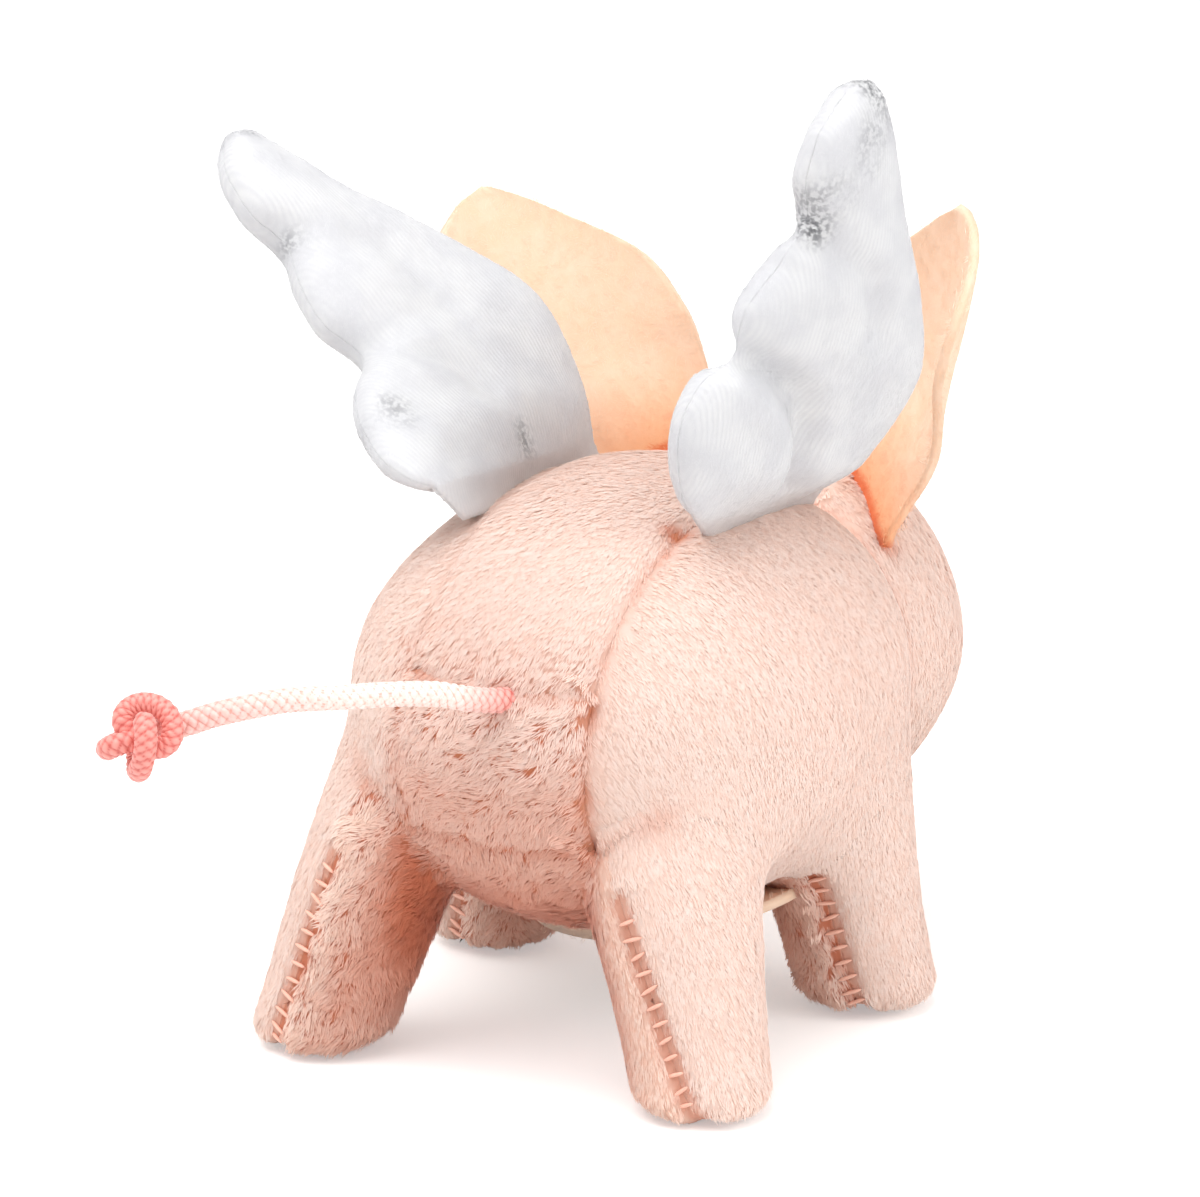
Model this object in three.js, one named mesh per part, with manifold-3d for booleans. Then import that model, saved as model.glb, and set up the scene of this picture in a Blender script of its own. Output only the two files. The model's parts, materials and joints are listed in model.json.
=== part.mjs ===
import * as THREE from 'three'
import { mergeVertices } from 'three/addons/utils/BufferGeometryUtils.js'
import Module from 'manifold-3d'

// Winged pig finger puppet in short plush, sewn and stuffed, in millimetres.
// +X is the pig's right, +Y its nose and +Z is up. It stands on four flat soles at Z = 0.
// A felt sleeve for a finger goes up into the belly between the legs.

const wasm = await Module()
wasm.setup()

// Cloth, and the clearance between pieces that touch
const plushWall = 1.2
const feltWall = 1
const velvetWall = 0.6
const seatGap = 0.3
const seamGap = 0.3

// Body: an egg along Y, fuller at the shoulder than at the rump
const bodyWidth = 54
const bodyHeight = 46
const bodyRear = 30
const bodyFront = 30
const bodyCentre = new THREE.Vector3(0, 5.5, 33.3)
const rumpFullness = 2
const shoulderFullness = 3
const bodySides = 22
const bodyRings = 12

// Where the body's panels meet
const gussetWidth = 20.4
const tailSeamHeight = 41.6
const rumpSeamHeight = 25.4
const bellySeamHeight = 16

// Legs
const footSpacing = 44
const footStride = 37
const rearHipSpacing = 30
const rearHipY = -13
const frontHipSpacing = 33.4
const frontHipY = 15.9
const hipHeight = 24
const footRadius = 7.4
const hipRadius = 9.6
const hipCapRise = 4.3
const thighFullness = 1.6
const toeRound = 3.6
const soleCut = 0.5
const legSides = 14

// Head
const headWidth = 43.5
const headLength = 40
const headHeight = 40
const headCentre = new THREE.Vector3(0, 35.5, 32.2)
const headGussetWidth = 17
const headSides = 20
const headRings = 12

// Snout
const snoutRadius = 7.6
const snoutOval = 1.15
const snoutReach = 8
const snoutHeight = 29.5
const snoutRimRound = 1.6
const snoutDiscThickness = 1.6
const nostrilSpacing = 6.4
const nostrilWidth = 2.4
const nostrilHeight = 3
const nostrilDepth = 0.7

// Eyes: a bead on a shank, held by a washer inside the head
const eyeRadius = 2.3
const eyeSeatRadius = 2.1
const eyeRimHeight = 0.3
const eyeDomeHeight = 1.8
const eyeShankRadius = 0.8
const eyeShankLength = 5
const eyeTurn = 33
const eyeLift = 19
const washerRadius = 2.8
const washerThickness = 0.8
const washerClearance = 0.8

// Ears: one leaf of felt each, sewn in at the top of the head
const earLength = 31.5
const earWidth = 24
const earBaseWidth = 15
const earBaseDepth = 5
const earTipWidth = 1.2
const earCup = 4.2
const earSeatX = 13.2
const earSeatY = 36.3
const earTurn = 45
const earHingeLift = 0.9
const rightEarLean = 17
const leftEarLean = 35

// Wings: two panels of stretch velvet each, sewn round the edge and filled
const wingSpan = 45
const wingSwell = 3.5
const wingRootX = 13.3
const wingRootBack = 0.5
const wingRootFront = 23.5
const wingHingeLift = 1.1
const wingRootDepth = 4
const wingTwistY = 11
const wingFillStart = -1
const wingFillFull = 8
const wingTipFullness = 5
const wingNotchReach = 2.4
const wingPinch = 0.42

// Tail: a soft cord with an overhand knot
const tailDiameter = 2.6
const knotCordDiameter = 1.7
const knotTurnRadius = 2.5
const knotLoopRadius = 1.25
const knotHeight = 1.9
const knotRoll = 30
const knotTurnFrom = -0.35
const knotTurnTo = 4.88
const tailRootX = 0.8
const tailRootHeight = 41
const tailRoute = [
  [0, 0, 0], [-1.1, -3.2, 1], [-2.5, -5.8, 1.9], [-5, -10.6, 2.8], [-7.9, -14.6, 3.2],
  [-11.5, -18.6, 3.5], [-14.1, -21.1, 3.2], [-17, -23.1, 2.5], [-19.2, -24.4, 1.7],
  [-21.4, -25.5, 1.1], [-23.2, -26.3, 0.5],
]

// Finger sleeve
const sleeveMouthRadius = 9.2
const sleeveTopRadius = 8
const sleeveTop = 45
const sleeveDomeHeight = 4.8
const sleeveY = 7
const collarRadius = 14.6
const sleeveSides = 24

const plushColour = 0xf3c8b6
const plushDeepColour = 0xe8b09a
const feltColour = 0xf9c69b
const velvetColour = 0xf4f5f3
const fillingColour = 0xf2efe9
const cordColour = 0xf7b5a8
const beadColour = 0x191614
const washerColour = 0xd9d4cc

// A closed solid from the points and triangles of a shape
function solidOf(geometry) {
  const bare = new THREE.BufferGeometry()
  bare.setAttribute('position', geometry.getAttribute('position').clone())
  if (geometry.index) bare.setIndex(geometry.index.clone())
  const merged = mergeVertices(bare, 1e-4)
  const corners = []
  const source = merged.index.array
  for (let i = 0; i < source.length; i += 3) {
    const [a, b, c] = [source[i], source[i + 1], source[i + 2]]
    if (a !== b && b !== c && c !== a) corners.push(a, b, c)
  }
  const vertProperties = new Float32Array(merged.getAttribute('position').array)
  const triVerts = new Uint32Array(corners)
  return new wasm.Manifold(new wasm.Mesh({ numProp: 3, vertProperties, triVerts }))
}

// The faces of a solid, to show it as a piece
function geometryOf(solid) {
  const mesh = solid.getMesh()
  const points = new THREE.BufferAttribute(new Float32Array(mesh.vertProperties), 3)
  const geometry = new THREE.BufferGeometry()
  geometry.setAttribute('position', points)
  geometry.setIndex(new THREE.BufferAttribute(new Uint32Array(mesh.triVerts), 1))
  geometry.computeVertexNormals()
  return geometry
}

function cutBy(solid, ...others) {
  return others.reduce((rest, other) => rest.subtract(other), solid)
}

function joined(solids) {
  return solids.reduce((whole, solid) => whole.add(solid))
}

// A panel without the offcuts that its seams leave
function largest(solid) {
  const bodies = solid.decompose()
  return bodies.reduce((best, other) => (other.volume() > best.volume() ? other : best))
}

// The half of a solid beyond a plane through a point, less half a seam gap
function beyond(solid, normal, point) {
  const unit = normal.clone().normalize()
  return solid.trimByPlane(unit.toArray(), unit.dot(point) + seamGap / 2)
}

const right = new THREE.Vector3(1, 0, 0)
const forward = new THREE.Vector3(0, 1, 0)
const up = new THREE.Vector3(0, 0, 1)
const opposite = (direction) => direction.clone().negate()

// Body form: half axes at an offset from the outer surface
function bodySection(along) {
  const fullness = along < 0 ? rumpFullness : shoulderFullness
  return Math.sqrt(Math.max(0, 1 - Math.abs(along) ** fullness))
}

function bodyForm(grow) {
  const profile = []
  for (let i = 0; i <= bodyRings; i += 1) {
    const along = Math.sin(Math.PI * (i / bodyRings - 0.5))
    const reach = along < 0 ? bodyRear : bodyFront
    const atPole = i === 0 || i === bodyRings
    profile.push(new THREE.Vector2(atPole ? 0 : bodySection(along), along * (reach + grow)))
  }
  const form = new THREE.LatheGeometry(profile, bodySides)
  form.scale(bodyWidth / 2 + grow, 1, bodyHeight / 2 + grow)
  form.translate(...bodyCentre)
  return solidOf(form)
}

// Height of the body's back, or depth of its belly with a sign of -1, at a point in plan
function bodySurface(x, y, sign = 1) {
  const along = (y - bodyCentre.y) / (y < bodyCentre.y ? bodyRear : bodyFront)
  const section = bodySection(along) ** 2 - (2 * x / bodyWidth) ** 2
  return bodyCentre.z + sign * (bodyHeight / 2) * Math.sqrt(Math.max(0, section))
}

// How far the body's surface leans outwards from the vertical at a point on its back
function bodyLean(x, y) {
  const rise = (bodySurface(x, y) - bodyCentre.z) / (bodyHeight / 2) ** 2
  return Math.atan2(x / (bodyWidth / 2) ** 2, rise)
}

// Legs: each swells from foot to hip, and its top ends inside the body
const legs = [
  { name: 'rear_right', side: 1, end: -1, seamTurn: -18 },
  { name: 'rear_left', side: -1, end: -1, seamTurn: -14 },
  { name: 'front_right', side: 1, end: 1, seamTurn: -10 },
  { name: 'front_left', side: -1, end: 1, seamTurn: -10 },
]

for (const leg of legs) {
  const hipX = leg.side * (leg.end < 0 ? rearHipSpacing : frontHipSpacing) / 2
  const hipY = leg.end < 0 ? rearHipY : frontHipY
  leg.foot = new THREE.Vector3(leg.side * footSpacing / 2, leg.end * footStride / 2, 0)
  leg.axis = new THREE.Vector3(hipX, hipY, hipHeight).sub(leg.foot).normalize()
}

function legForm(leg, grow) {
  const profile = [new THREE.Vector2(0, -soleCut - grow)]
  const toeSteps = 4
  for (let i = 0; i <= toeSteps; i += 1) {
    const turn = (i / toeSteps) * (Math.PI / 2)
    const radius = footRadius - toeRound + (toeRound + grow) * Math.sin(turn)
    profile.push(new THREE.Vector2(radius, toeRound - soleCut - (toeRound + grow) * Math.cos(turn)))
  }
  const calfSteps = 4
  for (let i = 1; i <= calfSteps; i += 1) {
    const share = i / calfSteps
    const radius = footRadius + (hipRadius - footRadius) * share ** thighFullness + grow
    profile.push(new THREE.Vector2(radius, toeRound + (hipHeight - toeRound) * share))
  }
  const middleOfCap = Math.SQRT1_2 * (hipRadius + grow)
  profile.push(new THREE.Vector2(middleOfCap, hipHeight + Math.SQRT1_2 * (hipCapRise + grow)))
  profile.push(new THREE.Vector2(0, hipHeight + hipCapRise + grow))
  const form = new THREE.LatheGeometry(profile, legSides)
  form.rotateX(Math.PI / 2)
  const lean = leg.axis.clone().divideScalar(leg.axis.z)
  form.applyMatrix4(new THREE.Matrix4().makeShear(0, 0, 0, 0, lean.x, lean.y))
  form.translate(...leg.foot)
  return solidOf(form)
}

// Head form
function headForm(grow) {
  const form = new THREE.SphereGeometry(1, headSides, headRings)
  form.scale(headWidth / 2 + grow, headLength / 2 + grow, headHeight / 2 + grow)
  form.translate(...headCentre)
  return solidOf(form)
}

// Snout form: a short oval barrel along Y with a rounded front rim
const snoutFront = headCentre.y + headLength / 2 + snoutReach

function snoutForm(grow, front) {
  const radius = snoutRadius + grow
  const profile = [new THREE.Vector2(0, headCentre.y), new THREE.Vector2(radius, headCentre.y)]
  const rimSteps = 2
  for (let i = 0; i <= rimSteps; i += 1) {
    const turn = (i / rimSteps) * (Math.PI / 2)
    const inset = snoutRimRound * (1 - Math.cos(turn))
    profile.push(new THREE.Vector2(radius - inset, front - snoutRimRound * (1 - Math.sin(turn))))
  }
  profile.push(new THREE.Vector2(0, front))
  const form = new THREE.LatheGeometry(profile, 20)
  form.scale(snoutOval, 1, 1)
  form.translate(0, 0, snoutHeight)
  return solidOf(form)
}

// A round bar between two distances along a direction from a point
function barForm(radius, start, end, from, direction, sides = 16) {
  const profile = [[0, start], [radius, start], [radius, end], [0, end]]
  const form = new THREE.LatheGeometry(profile.map(([x, y]) => new THREE.Vector2(x, y)), sides)
  form.applyQuaternion(new THREE.Quaternion().setFromUnitVectors(forward, direction))
  form.translate(...from)
  return solidOf(form)
}

// Eyes on the head's surface, looking outwards
function eyeOf(side) {
  const turn = THREE.MathUtils.degToRad(eyeTurn)
  const lift = THREE.MathUtils.degToRad(eyeLift)
  const level = new THREE.Vector3(side * Math.sin(turn), Math.cos(turn), 0)
  const look = level.multiplyScalar(Math.cos(lift)).setZ(Math.sin(lift))
  const halfAxes = new THREE.Vector3(headWidth, headLength, headHeight).multiplyScalar(0.5)
  const seat = look.clone().multiply(halfAxes).add(headCentre)
  const outward = look.clone().divide(halfAxes).normalize()
  const profile = [
    new THREE.Vector2(0, -eyeShankLength),
    new THREE.Vector2(eyeShankRadius, -eyeShankLength),
    new THREE.Vector2(eyeShankRadius, seatGap),
    new THREE.Vector2(eyeSeatRadius, seatGap),
  ]
  const domeSteps = 5
  for (let i = 0; i <= domeSteps; i += 1) {
    const bend = (i / domeSteps) * (Math.PI / 2)
    const radius = i === domeSteps ? 0 : eyeRadius * Math.cos(bend)
    profile.push(new THREE.Vector2(radius, seatGap + eyeRimHeight + eyeDomeHeight * Math.sin(bend)))
  }
  const form = new THREE.LatheGeometry(profile, 16)
  form.applyQuaternion(new THREE.Quaternion().setFromUnitVectors(forward, outward))
  form.translate(...seat)
  const washerTop = -plushWall - washerClearance
  const washerBase = washerTop - washerThickness
  const bore = (grow) => barForm(eyeShankRadius + grow, -eyeShankLength - grow, eyeRadius, seat, outward)
  return {
    side,
    bead: solidOf(form),
    shankHole: bore(seatGap),
    washer: cutBy(barForm(washerRadius, washerBase, washerTop, seat, outward), bore(seatGap)),
    washerRoom: barForm(washerRadius + seatGap, washerBase - seatGap, seatGap, seat, outward),
  }
}

// Finger sleeve: a tapered felt tube with a domed top, and a collar that lies on the belly
function sleeveColumn(grow, bottom) {
  const profile = [new THREE.Vector2(0, bottom), new THREE.Vector2(sleeveMouthRadius + grow, bottom)]
  const domeSteps = 3
  for (let i = 0; i <= domeSteps; i += 1) {
    const turn = (i / domeSteps) * (Math.PI / 2)
    const radius = i === domeSteps ? 0 : (sleeveTopRadius + grow) * Math.cos(turn)
    profile.push(new THREE.Vector2(radius, sleeveTop + grow - sleeveDomeHeight * (1 - Math.sin(turn))))
  }
  const form = new THREE.LatheGeometry(profile, sleeveSides)
  form.rotateX(Math.PI / 2)
  form.translate(0, sleeveY, 0)
  return solidOf(form)
}

// A closed sheet between two grids of points that share their edges' order
function sheetForm(top, bottom) {
  const rows = top.length
  const columns = top[0].length
  const positions = [...top.flat(), ...bottom.flat()].flatMap((point) => point.toArray())
  const faces = []
  const at = (layer, row, column) => layer * rows * columns + row * columns + column
  const quad = (a, b, c, d) => faces.push(a, b, c, a, c, d)
  for (let r = 0; r < rows - 1; r += 1) {
    for (let c = 0; c < columns - 1; c += 1) {
      quad(at(0, r, c), at(0, r, c + 1), at(0, r + 1, c + 1), at(0, r + 1, c))
      quad(at(1, r, c), at(1, r + 1, c), at(1, r + 1, c + 1), at(1, r, c + 1))
    }
    const last = columns - 1
    quad(at(0, r, 0), at(0, r + 1, 0), at(1, r + 1, 0), at(1, r, 0))
    quad(at(0, r, last), at(1, r, last), at(1, r + 1, last), at(0, r + 1, last))
  }
  for (let c = 0; c < columns - 1; c += 1) {
    const last = rows - 1
    quad(at(0, 0, c), at(1, 0, c), at(1, 0, c + 1), at(0, 0, c + 1))
    quad(at(0, last, c), at(0, last, c + 1), at(1, last, c + 1), at(1, last, c))
  }
  const volume = signedVolume(positions, faces)
  const form = new THREE.BufferGeometry()
  form.setAttribute('position', new THREE.Float32BufferAttribute(positions, 3))
  form.setIndex(volume > 0 ? faces : faces.reverse())
  return solidOf(form)
}

function signedVolume(positions, faces) {
  const point = (i) => new THREE.Vector3().fromArray(positions, i * 3)
  let sum = 0
  for (let i = 0; i < faces.length; i += 3) {
    sum += point(faces[i]).dot(point(faces[i + 1]).cross(point(faces[i + 2])))
  }
  return sum
}

// A smooth line through [height, value] pairs, read at a height, level beyond its ends
function edgeLine(pairs) {
  const curve = new THREE.SplineCurve(pairs.map(([x, y]) => new THREE.Vector2(x, y)))
  const samples = curve.getPoints(pairs.length * 8)
  return (height) => {
    const next = samples.findIndex((sample) => sample.x >= height)
    if (next === 0) return samples[0].y
    if (next < 0) return samples[samples.length - 1].y
    const [before, after] = [samples[next - 1], samples[next]]
    const share = (height - before.x) / (after.x - before.x)
    return before.y + (after.y - before.y) * share
  }
}

// Wings: the root is a straight line along the back, and the wing leans out from it,
// by an angle that changes from the trailing to the leading edge
const wings = [
  { name: 'right_wing', side: 1, lean: 24, trailTwist: 1.3, leadTwist: 1.6, tipBend: 10 },
  { name: 'left_wing', side: -1, lean: 47, trailTwist: -1.1, leadTwist: -2.4, tipBend: -1.5 },
]
const wingRows = 14
const wingColumns = 9
const wingRowCrowding = 1.35

// The wing's edges: [share of the span, distance ahead of the root's end], with two notches
// between its three lobes at the back
const trailingEdge = edgeLine([
  [0, 0], [0.056, -5], [0.2, -9.1], [0.311, -6.5], [0.378, -1.9], [0.489, -3.1],
  [0.6, -1.5], [0.7, 1.5], [0.8, 1.1], [0.933, 4.1], [1, 8.1],
])
const leadingEdge = edgeLine([
  [0, 0.5], [0.322, 1.1], [0.533, -2.9], [0.711, -7.3], [0.911, -10.3], [1, -11.9],
])
const wingNotches = [0.369, 0.689]

const rootBackHeight = bodySurface(wingRootX, wingRootBack)
const rootFrontHeight = bodySurface(wingRootX, wingRootFront)
const rootSlope = (rootFrontHeight - rootBackHeight) / (wingRootFront - wingRootBack)
const rootMiddle = (wingRootBack + wingRootFront) / 2
const rootBulge = bodySurface(wingRootX, rootMiddle) - (rootBackHeight + rootFrontHeight) / 2
const hingeHeight = (y) => rootBackHeight + (y - wingRootBack) * rootSlope + rootBulge + wingHingeLift

function wingPoint(wing, y, height, offset) {
  const twist = y < wingTwistY ? wing.trailTwist : wing.leadTwist
  const share = Math.max(0, height / wingSpan)
  const leanDegrees = wing.lean + twist * (y - wingTwistY) * (1 - share) - wing.tipBend * share ** 2
  const lean = height < 0 ? bodyLean(wingRootX, y) : THREE.MathUtils.degToRad(leanDegrees)
  const across = wingRootX + height * Math.sin(lean) + offset * Math.cos(lean)
  const rise = hingeHeight(y) + height * Math.cos(lean) - offset * Math.sin(lean)
  return new THREE.Vector3(wing.side * across, y, rise)
}

// Half the wing's thickness at a height and a share of the chord from -1 to 1
function wingHalf(height, share) {
  const rim = seamGap / 2 + velvetWall
  const ramp = THREE.MathUtils.smoothstep(height, wingFillStart, wingFillFull)
  const taper = Math.sqrt(Math.max(0, 1 - Math.max(0, height / wingSpan) ** wingTipFullness))
  const pinch = wingNotches.reduce((left, notch) => {
    const away = (height - notch * wingSpan) / wingNotchReach
    const reach = Math.exp(-(away ** 2)) * (1 - share) / 2
    return left * (1 - wingPinch * reach)
  }, 1)
  return rim + wingSwell * ramp * taper * pinch * Math.sqrt(Math.max(0, 1 - share * share))
}

// Points over a wing, in rows from its root up, at an offset worked out from its thickness
function wingGrid(wing, offsetAt, inset) {
  const grid = []
  for (let r = inset; r < wingRows - inset; r += 1) {
    const left = 1 - (r - 1) / (wingRows - 2)
    const height = r === 0 ? -wingRootDepth : wingSpan * (1 - left ** wingRowCrowding)
    const back = wingRootBack + trailingEdge(height / wingSpan)
    const front = wingRootFront + leadingEdge(height / wingSpan)
    const row = []
    for (let c = inset; c < wingColumns - inset; c += 1) {
      const share = -Math.cos((Math.PI * c) / (wingColumns - 1))
      const y = (back + front) / 2 + share * (front - back) / 2
      row.push(wingPoint(wing, y, height, offsetAt(wingHalf(height, share))))
    }
    grid.push(row)
  }
  return grid
}

function wingPieces(wing) {
  const panel = (face) => sheetForm(
    wingGrid(wing, (half) => face * half, 0),
    wingGrid(wing, (half) => face * (half - velvetWall), 0),
  )
  const thinnest = seatGap / 3
  const fillingHalf = (half) => Math.max(thinnest, half - velvetWall - seatGap)
  const filling = sheetForm(
    wingGrid(wing, (half) => fillingHalf(half), 1),
    wingGrid(wing, (half) => -fillingHalf(half), 1),
  )
  return { outer: panel(1), inner: panel(-1), filling }
}

// Ears: the leaf's outline is half its width at each height, and its sides curl forwards
const earOutline = edgeLine([
  [0, earBaseWidth / 2], [earLength * 0.27, earWidth * 0.44], [earLength * 0.5, earWidth * 0.5],
  [earLength * 0.72, earWidth * 0.46], [earLength * 0.92, earWidth * 0.2], [earLength, earTipWidth / 2],
])
const earRows = 12
const earColumns = 9
const earRowCrowding = 0.85

function earOf(name, side, leanDegrees) {
  const turn = THREE.MathUtils.degToRad(earTurn)
  const lean = THREE.MathUtils.degToRad(leanDegrees)
  const along = new THREE.Vector3(-side * Math.sin(turn), Math.cos(turn), 0)
  const axis = new THREE.Vector3(side * Math.sin(lean), 0, Math.cos(lean))
  const ahead = new THREE.Vector3().crossVectors(axis, along).normalize().multiplyScalar(side)
  const seat = new THREE.Vector3(side * earSeatX, earSeatY, 0)
  const headLevel = (2 * seat.x / headWidth) ** 2 + (2 * (seat.y - headCentre.y) / headLength) ** 2
  seat.z = headCentre.z + (headHeight / 2) * Math.sqrt(1 - headLevel) + earHingeLift
  const grid = (offset) => {
    const rows = []
    for (let r = 0; r < earRows; r += 1) {
      const height = (earLength + earBaseDepth) * (r / (earRows - 1)) ** earRowCrowding - earBaseDepth
      const curl = earCup * THREE.MathUtils.smoothstep(height, 0, earLength / 2)
      const row = []
      for (let c = 0; c < earColumns; c += 1) {
        const share = -1 + (2 * c) / (earColumns - 1)
        const across = share * earOutline(height)
        const cup = curl * (2 * across / earWidth) ** 2
        const point = seat.clone().addScaledVector(along, across)
        row.push(point.addScaledVector(axis, height).addScaledVector(ahead, cup + offset))
      }
      rows.push(row)
    }
    return rows
  }
  return { name, seat, leaf: sheetForm(grid(feltWall / 2), grid(-feltWall / 2)) }
}

// Tail: an octagonal cord along its route, and an overhand knot along part of a trefoil
function tubeForm(curve, diameter, steps, sides) {
  const section = new THREE.Shape()
  for (let i = 0; i < sides; i += 1) {
    const turn = (2 * Math.PI * i) / sides
    const [x, y] = [Math.cos(turn) * diameter / 2, Math.sin(turn) * diameter / 2]
    if (i === 0) section.moveTo(x, y)
    else section.lineTo(x, y)
  }
  section.closePath()
  const form = new THREE.ExtrudeGeometry(section, { steps, extrudePath: curve, bevelEnabled: false })
  return solidOf(form)
}

function knotCurve(start, direction) {
  const local = []
  const pointCount = 48
  for (let i = 0; i <= pointCount; i += 1) {
    const turn = knotTurnFrom + (knotTurnTo - knotTurnFrom) * (i / pointCount)
    const radius = knotTurnRadius + knotLoopRadius * Math.cos(3 * turn)
    const height = knotHeight * Math.sin(3 * turn)
    local.push(new THREE.Vector3(radius * Math.cos(2 * turn), radius * Math.sin(2 * turn), height))
  }
  const heading = local[1].clone().sub(local[0]).normalize()
  const swing = new THREE.Quaternion().setFromUnitVectors(heading, direction)
  const roll = THREE.MathUtils.degToRad(knotRoll)
  swing.premultiply(new THREE.Quaternion().setFromAxisAngle(direction, roll))
  const origin = local[0].clone()
  local.forEach((point) => point.sub(origin).applyQuaternion(swing).add(start))
  return new THREE.CatmullRomCurve3(local)
}

// Materials
const material = (color, roughness) => new THREE.MeshStandardMaterial({ color, roughness, metalness: 0 })
const plush = material(plushColour, 0.95)
const plushDeep = material(plushDeepColour, 0.95)
const felt = material(feltColour, 0.95)
const velvet = material(velvetColour, 0.6)
const filling = material(fillingColour, 1)
const cord = material(cordColour, 0.55)
const bead = material(beadColour, 0.15)
const washerPlastic = material(washerColour, 0.5)

const puppet = new THREE.Group()
puppet.name = 'pig_finger_puppet'

// A piece joins a group that stands at its own pivot, and keeps its place
function addPiece(parent, name, solid, finish) {
  const geometry = geometryOf(solid)
  geometry.translate(-parent.position.x, -parent.position.y, -parent.position.z)
  const mesh = new THREE.Mesh(geometry, finish)
  mesh.name = name
  parent.add(mesh)
}

function addGroup(name, pivot) {
  const group = new THREE.Group()
  group.name = name
  group.position.copy(pivot)
  puppet.add(group)
  return group
}

const bodyGroup = addGroup('body', new THREE.Vector3())

// Whole forms, which cut one another
const body = bodyForm(0)
const bodyRoom = bodyForm(seatGap)
const bodyInside = bodyForm(-plushWall)
const head = headForm(0)
const legForms = legs.map((leg) => legForm(leg, 0))
const legRooms = legs.map((leg) => legForm(leg, seatGap))
const eyes = [eyeOf(1), eyeOf(-1)]
const sleeveBottom = bodyCentre.z - bodyHeight / 2 - feltWall - 2 * seatGap
const sleeveOuter = sleeveColumn(feltWall, sleeveBottom)
const sleeveBore = sleeveColumn(0, sleeveBottom - seatGap)
const sleeveRoom = sleeveColumn(feltWall + seatGap, sleeveBottom - seatGap)

// Body cover, cut open for the head, the legs and the sleeve, then cut into its panels
const bodyCover = cutBy(body, bodyInside, headForm(seatGap), ...legRooms, sleeveRoom)
const halfGusset = gussetWidth / 2
const gussetEdge = new THREE.Vector3(halfGusset, 0, 0)
const otherEdge = new THREE.Vector3(-halfGusset, 0, 0)
const tailSeam = new THREE.Vector3(0, 0, tailSeamHeight)
const rumpSeam = new THREE.Vector3(0, 0, rumpSeamHeight)
const bellySeam = new THREE.Vector3(0, 0, bellySeamHeight)
const middleStrip = beyond(beyond(bodyCover, opposite(right), gussetEdge), right, otherEdge)
const rearStrip = beyond(middleStrip, opposite(forward), bodyCentre)
const backGusset = beyond(middleStrip, up, tailSeam)
const rumpPanel = beyond(beyond(rearStrip, opposite(up), tailSeam), up, rumpSeam)
const underside = beyond(bodyCover, opposite(up), bellySeam)
const seatOfRump = beyond(rearStrip, opposite(up), rumpSeam)
const bellyPanel = underside.add(seatOfRump)
const flank = (side) => {
  const outward = side > 0 ? right : opposite(right)
  return beyond(beyond(bodyCover, outward, side > 0 ? gussetEdge : otherEdge), up, bellySeam)
}
addPiece(bodyGroup, 'back_gusset', largest(backGusset), plush)
addPiece(bodyGroup, 'rump_panel', largest(rumpPanel), plush)
addPiece(bodyGroup, 'right_side_panel', largest(flank(1)), plush)
addPiece(bodyGroup, 'left_side_panel', largest(flank(-1)), plush)
addPiece(bodyGroup, 'belly_panel', largest(bellyPanel), plushDeep)
addPiece(bodyGroup, 'body_filling', cutBy(bodyForm(-plushWall - seatGap), sleeveRoom), filling)

// Finger sleeve with its collar, which follows the belly
const collarColumn = barForm(collarRadius, -bodyHeight, 0, bodyCentre.clone().setY(sleeveY), up, 28)
const collarSkin = cutBy(bodyForm(seatGap + feltWall), bodyRoom)
const collar = cutBy(collarSkin.intersect(collarColumn), ...legRooms)
const sleeve = cutBy(sleeveOuter.intersect(bodyForm(seatGap + feltWall)).add(collar), sleeveBore)
addPiece(bodyGroup, 'finger_sleeve', sleeve, felt)

// Legs, each cover cut into its outer and inner half along the seam
legs.forEach((leg, i) => {
  const wall = cutBy(legForms[i], legForm(leg, -plushWall), bodyRoom)
  const cover = wall.trimByPlane(up.toArray(), 0)
  const seamTurn = THREE.MathUtils.degToRad(leg.seamTurn)
  const outward = new THREE.Vector3(leg.side, 0, 0).applyAxisAngle(up, seamTurn)
  outward.addScaledVector(leg.axis, -outward.dot(leg.axis)).normalize()
  addPiece(bodyGroup, `${leg.name}_leg_outer`, beyond(cover, outward, leg.foot), plush)
  addPiece(bodyGroup, `${leg.name}_leg_inner`, beyond(cover, opposite(outward), leg.foot), plushDeep)
  const core = cutBy(legForm(leg, -plushWall - seatGap), bodyForm(-plushWall))
  addPiece(bodyGroup, `${leg.name}_leg_filling`, core, filling)
})

// Head cover, cut into a gusset over the forehead and two side panels
const snoutRoom = snoutForm(seatGap, snoutFront)
const eyeHoles = eyes.map((eye) => eye.shankHole)
const headCover = cutBy(head, headForm(-plushWall), bodyRoom, snoutRoom, ...eyeHoles)
const headEdge = new THREE.Vector3(headGussetWidth / 2, 0, 0)
const headTop = new THREE.Vector3(0, 0, headCentre.z)
const topStrip = beyond(beyond(headCover, opposite(right), headEdge), right, opposite(headEdge))
const foreheadGusset = beyond(topStrip, up, headTop)
const cheek = (side) => {
  const outward = side > 0 ? right : opposite(right)
  const edge = side > 0 ? headEdge : opposite(headEdge)
  const chin = beyond(beyond(headCover, outward, headTop), opposite(up), headTop)
  return chin.add(beyond(headCover, outward, edge))
}
addPiece(bodyGroup, 'forehead_gusset', foreheadGusset, plush)
addPiece(bodyGroup, 'right_head_panel', cheek(1), plush)
addPiece(bodyGroup, 'left_head_panel', cheek(-1), plush)

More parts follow.
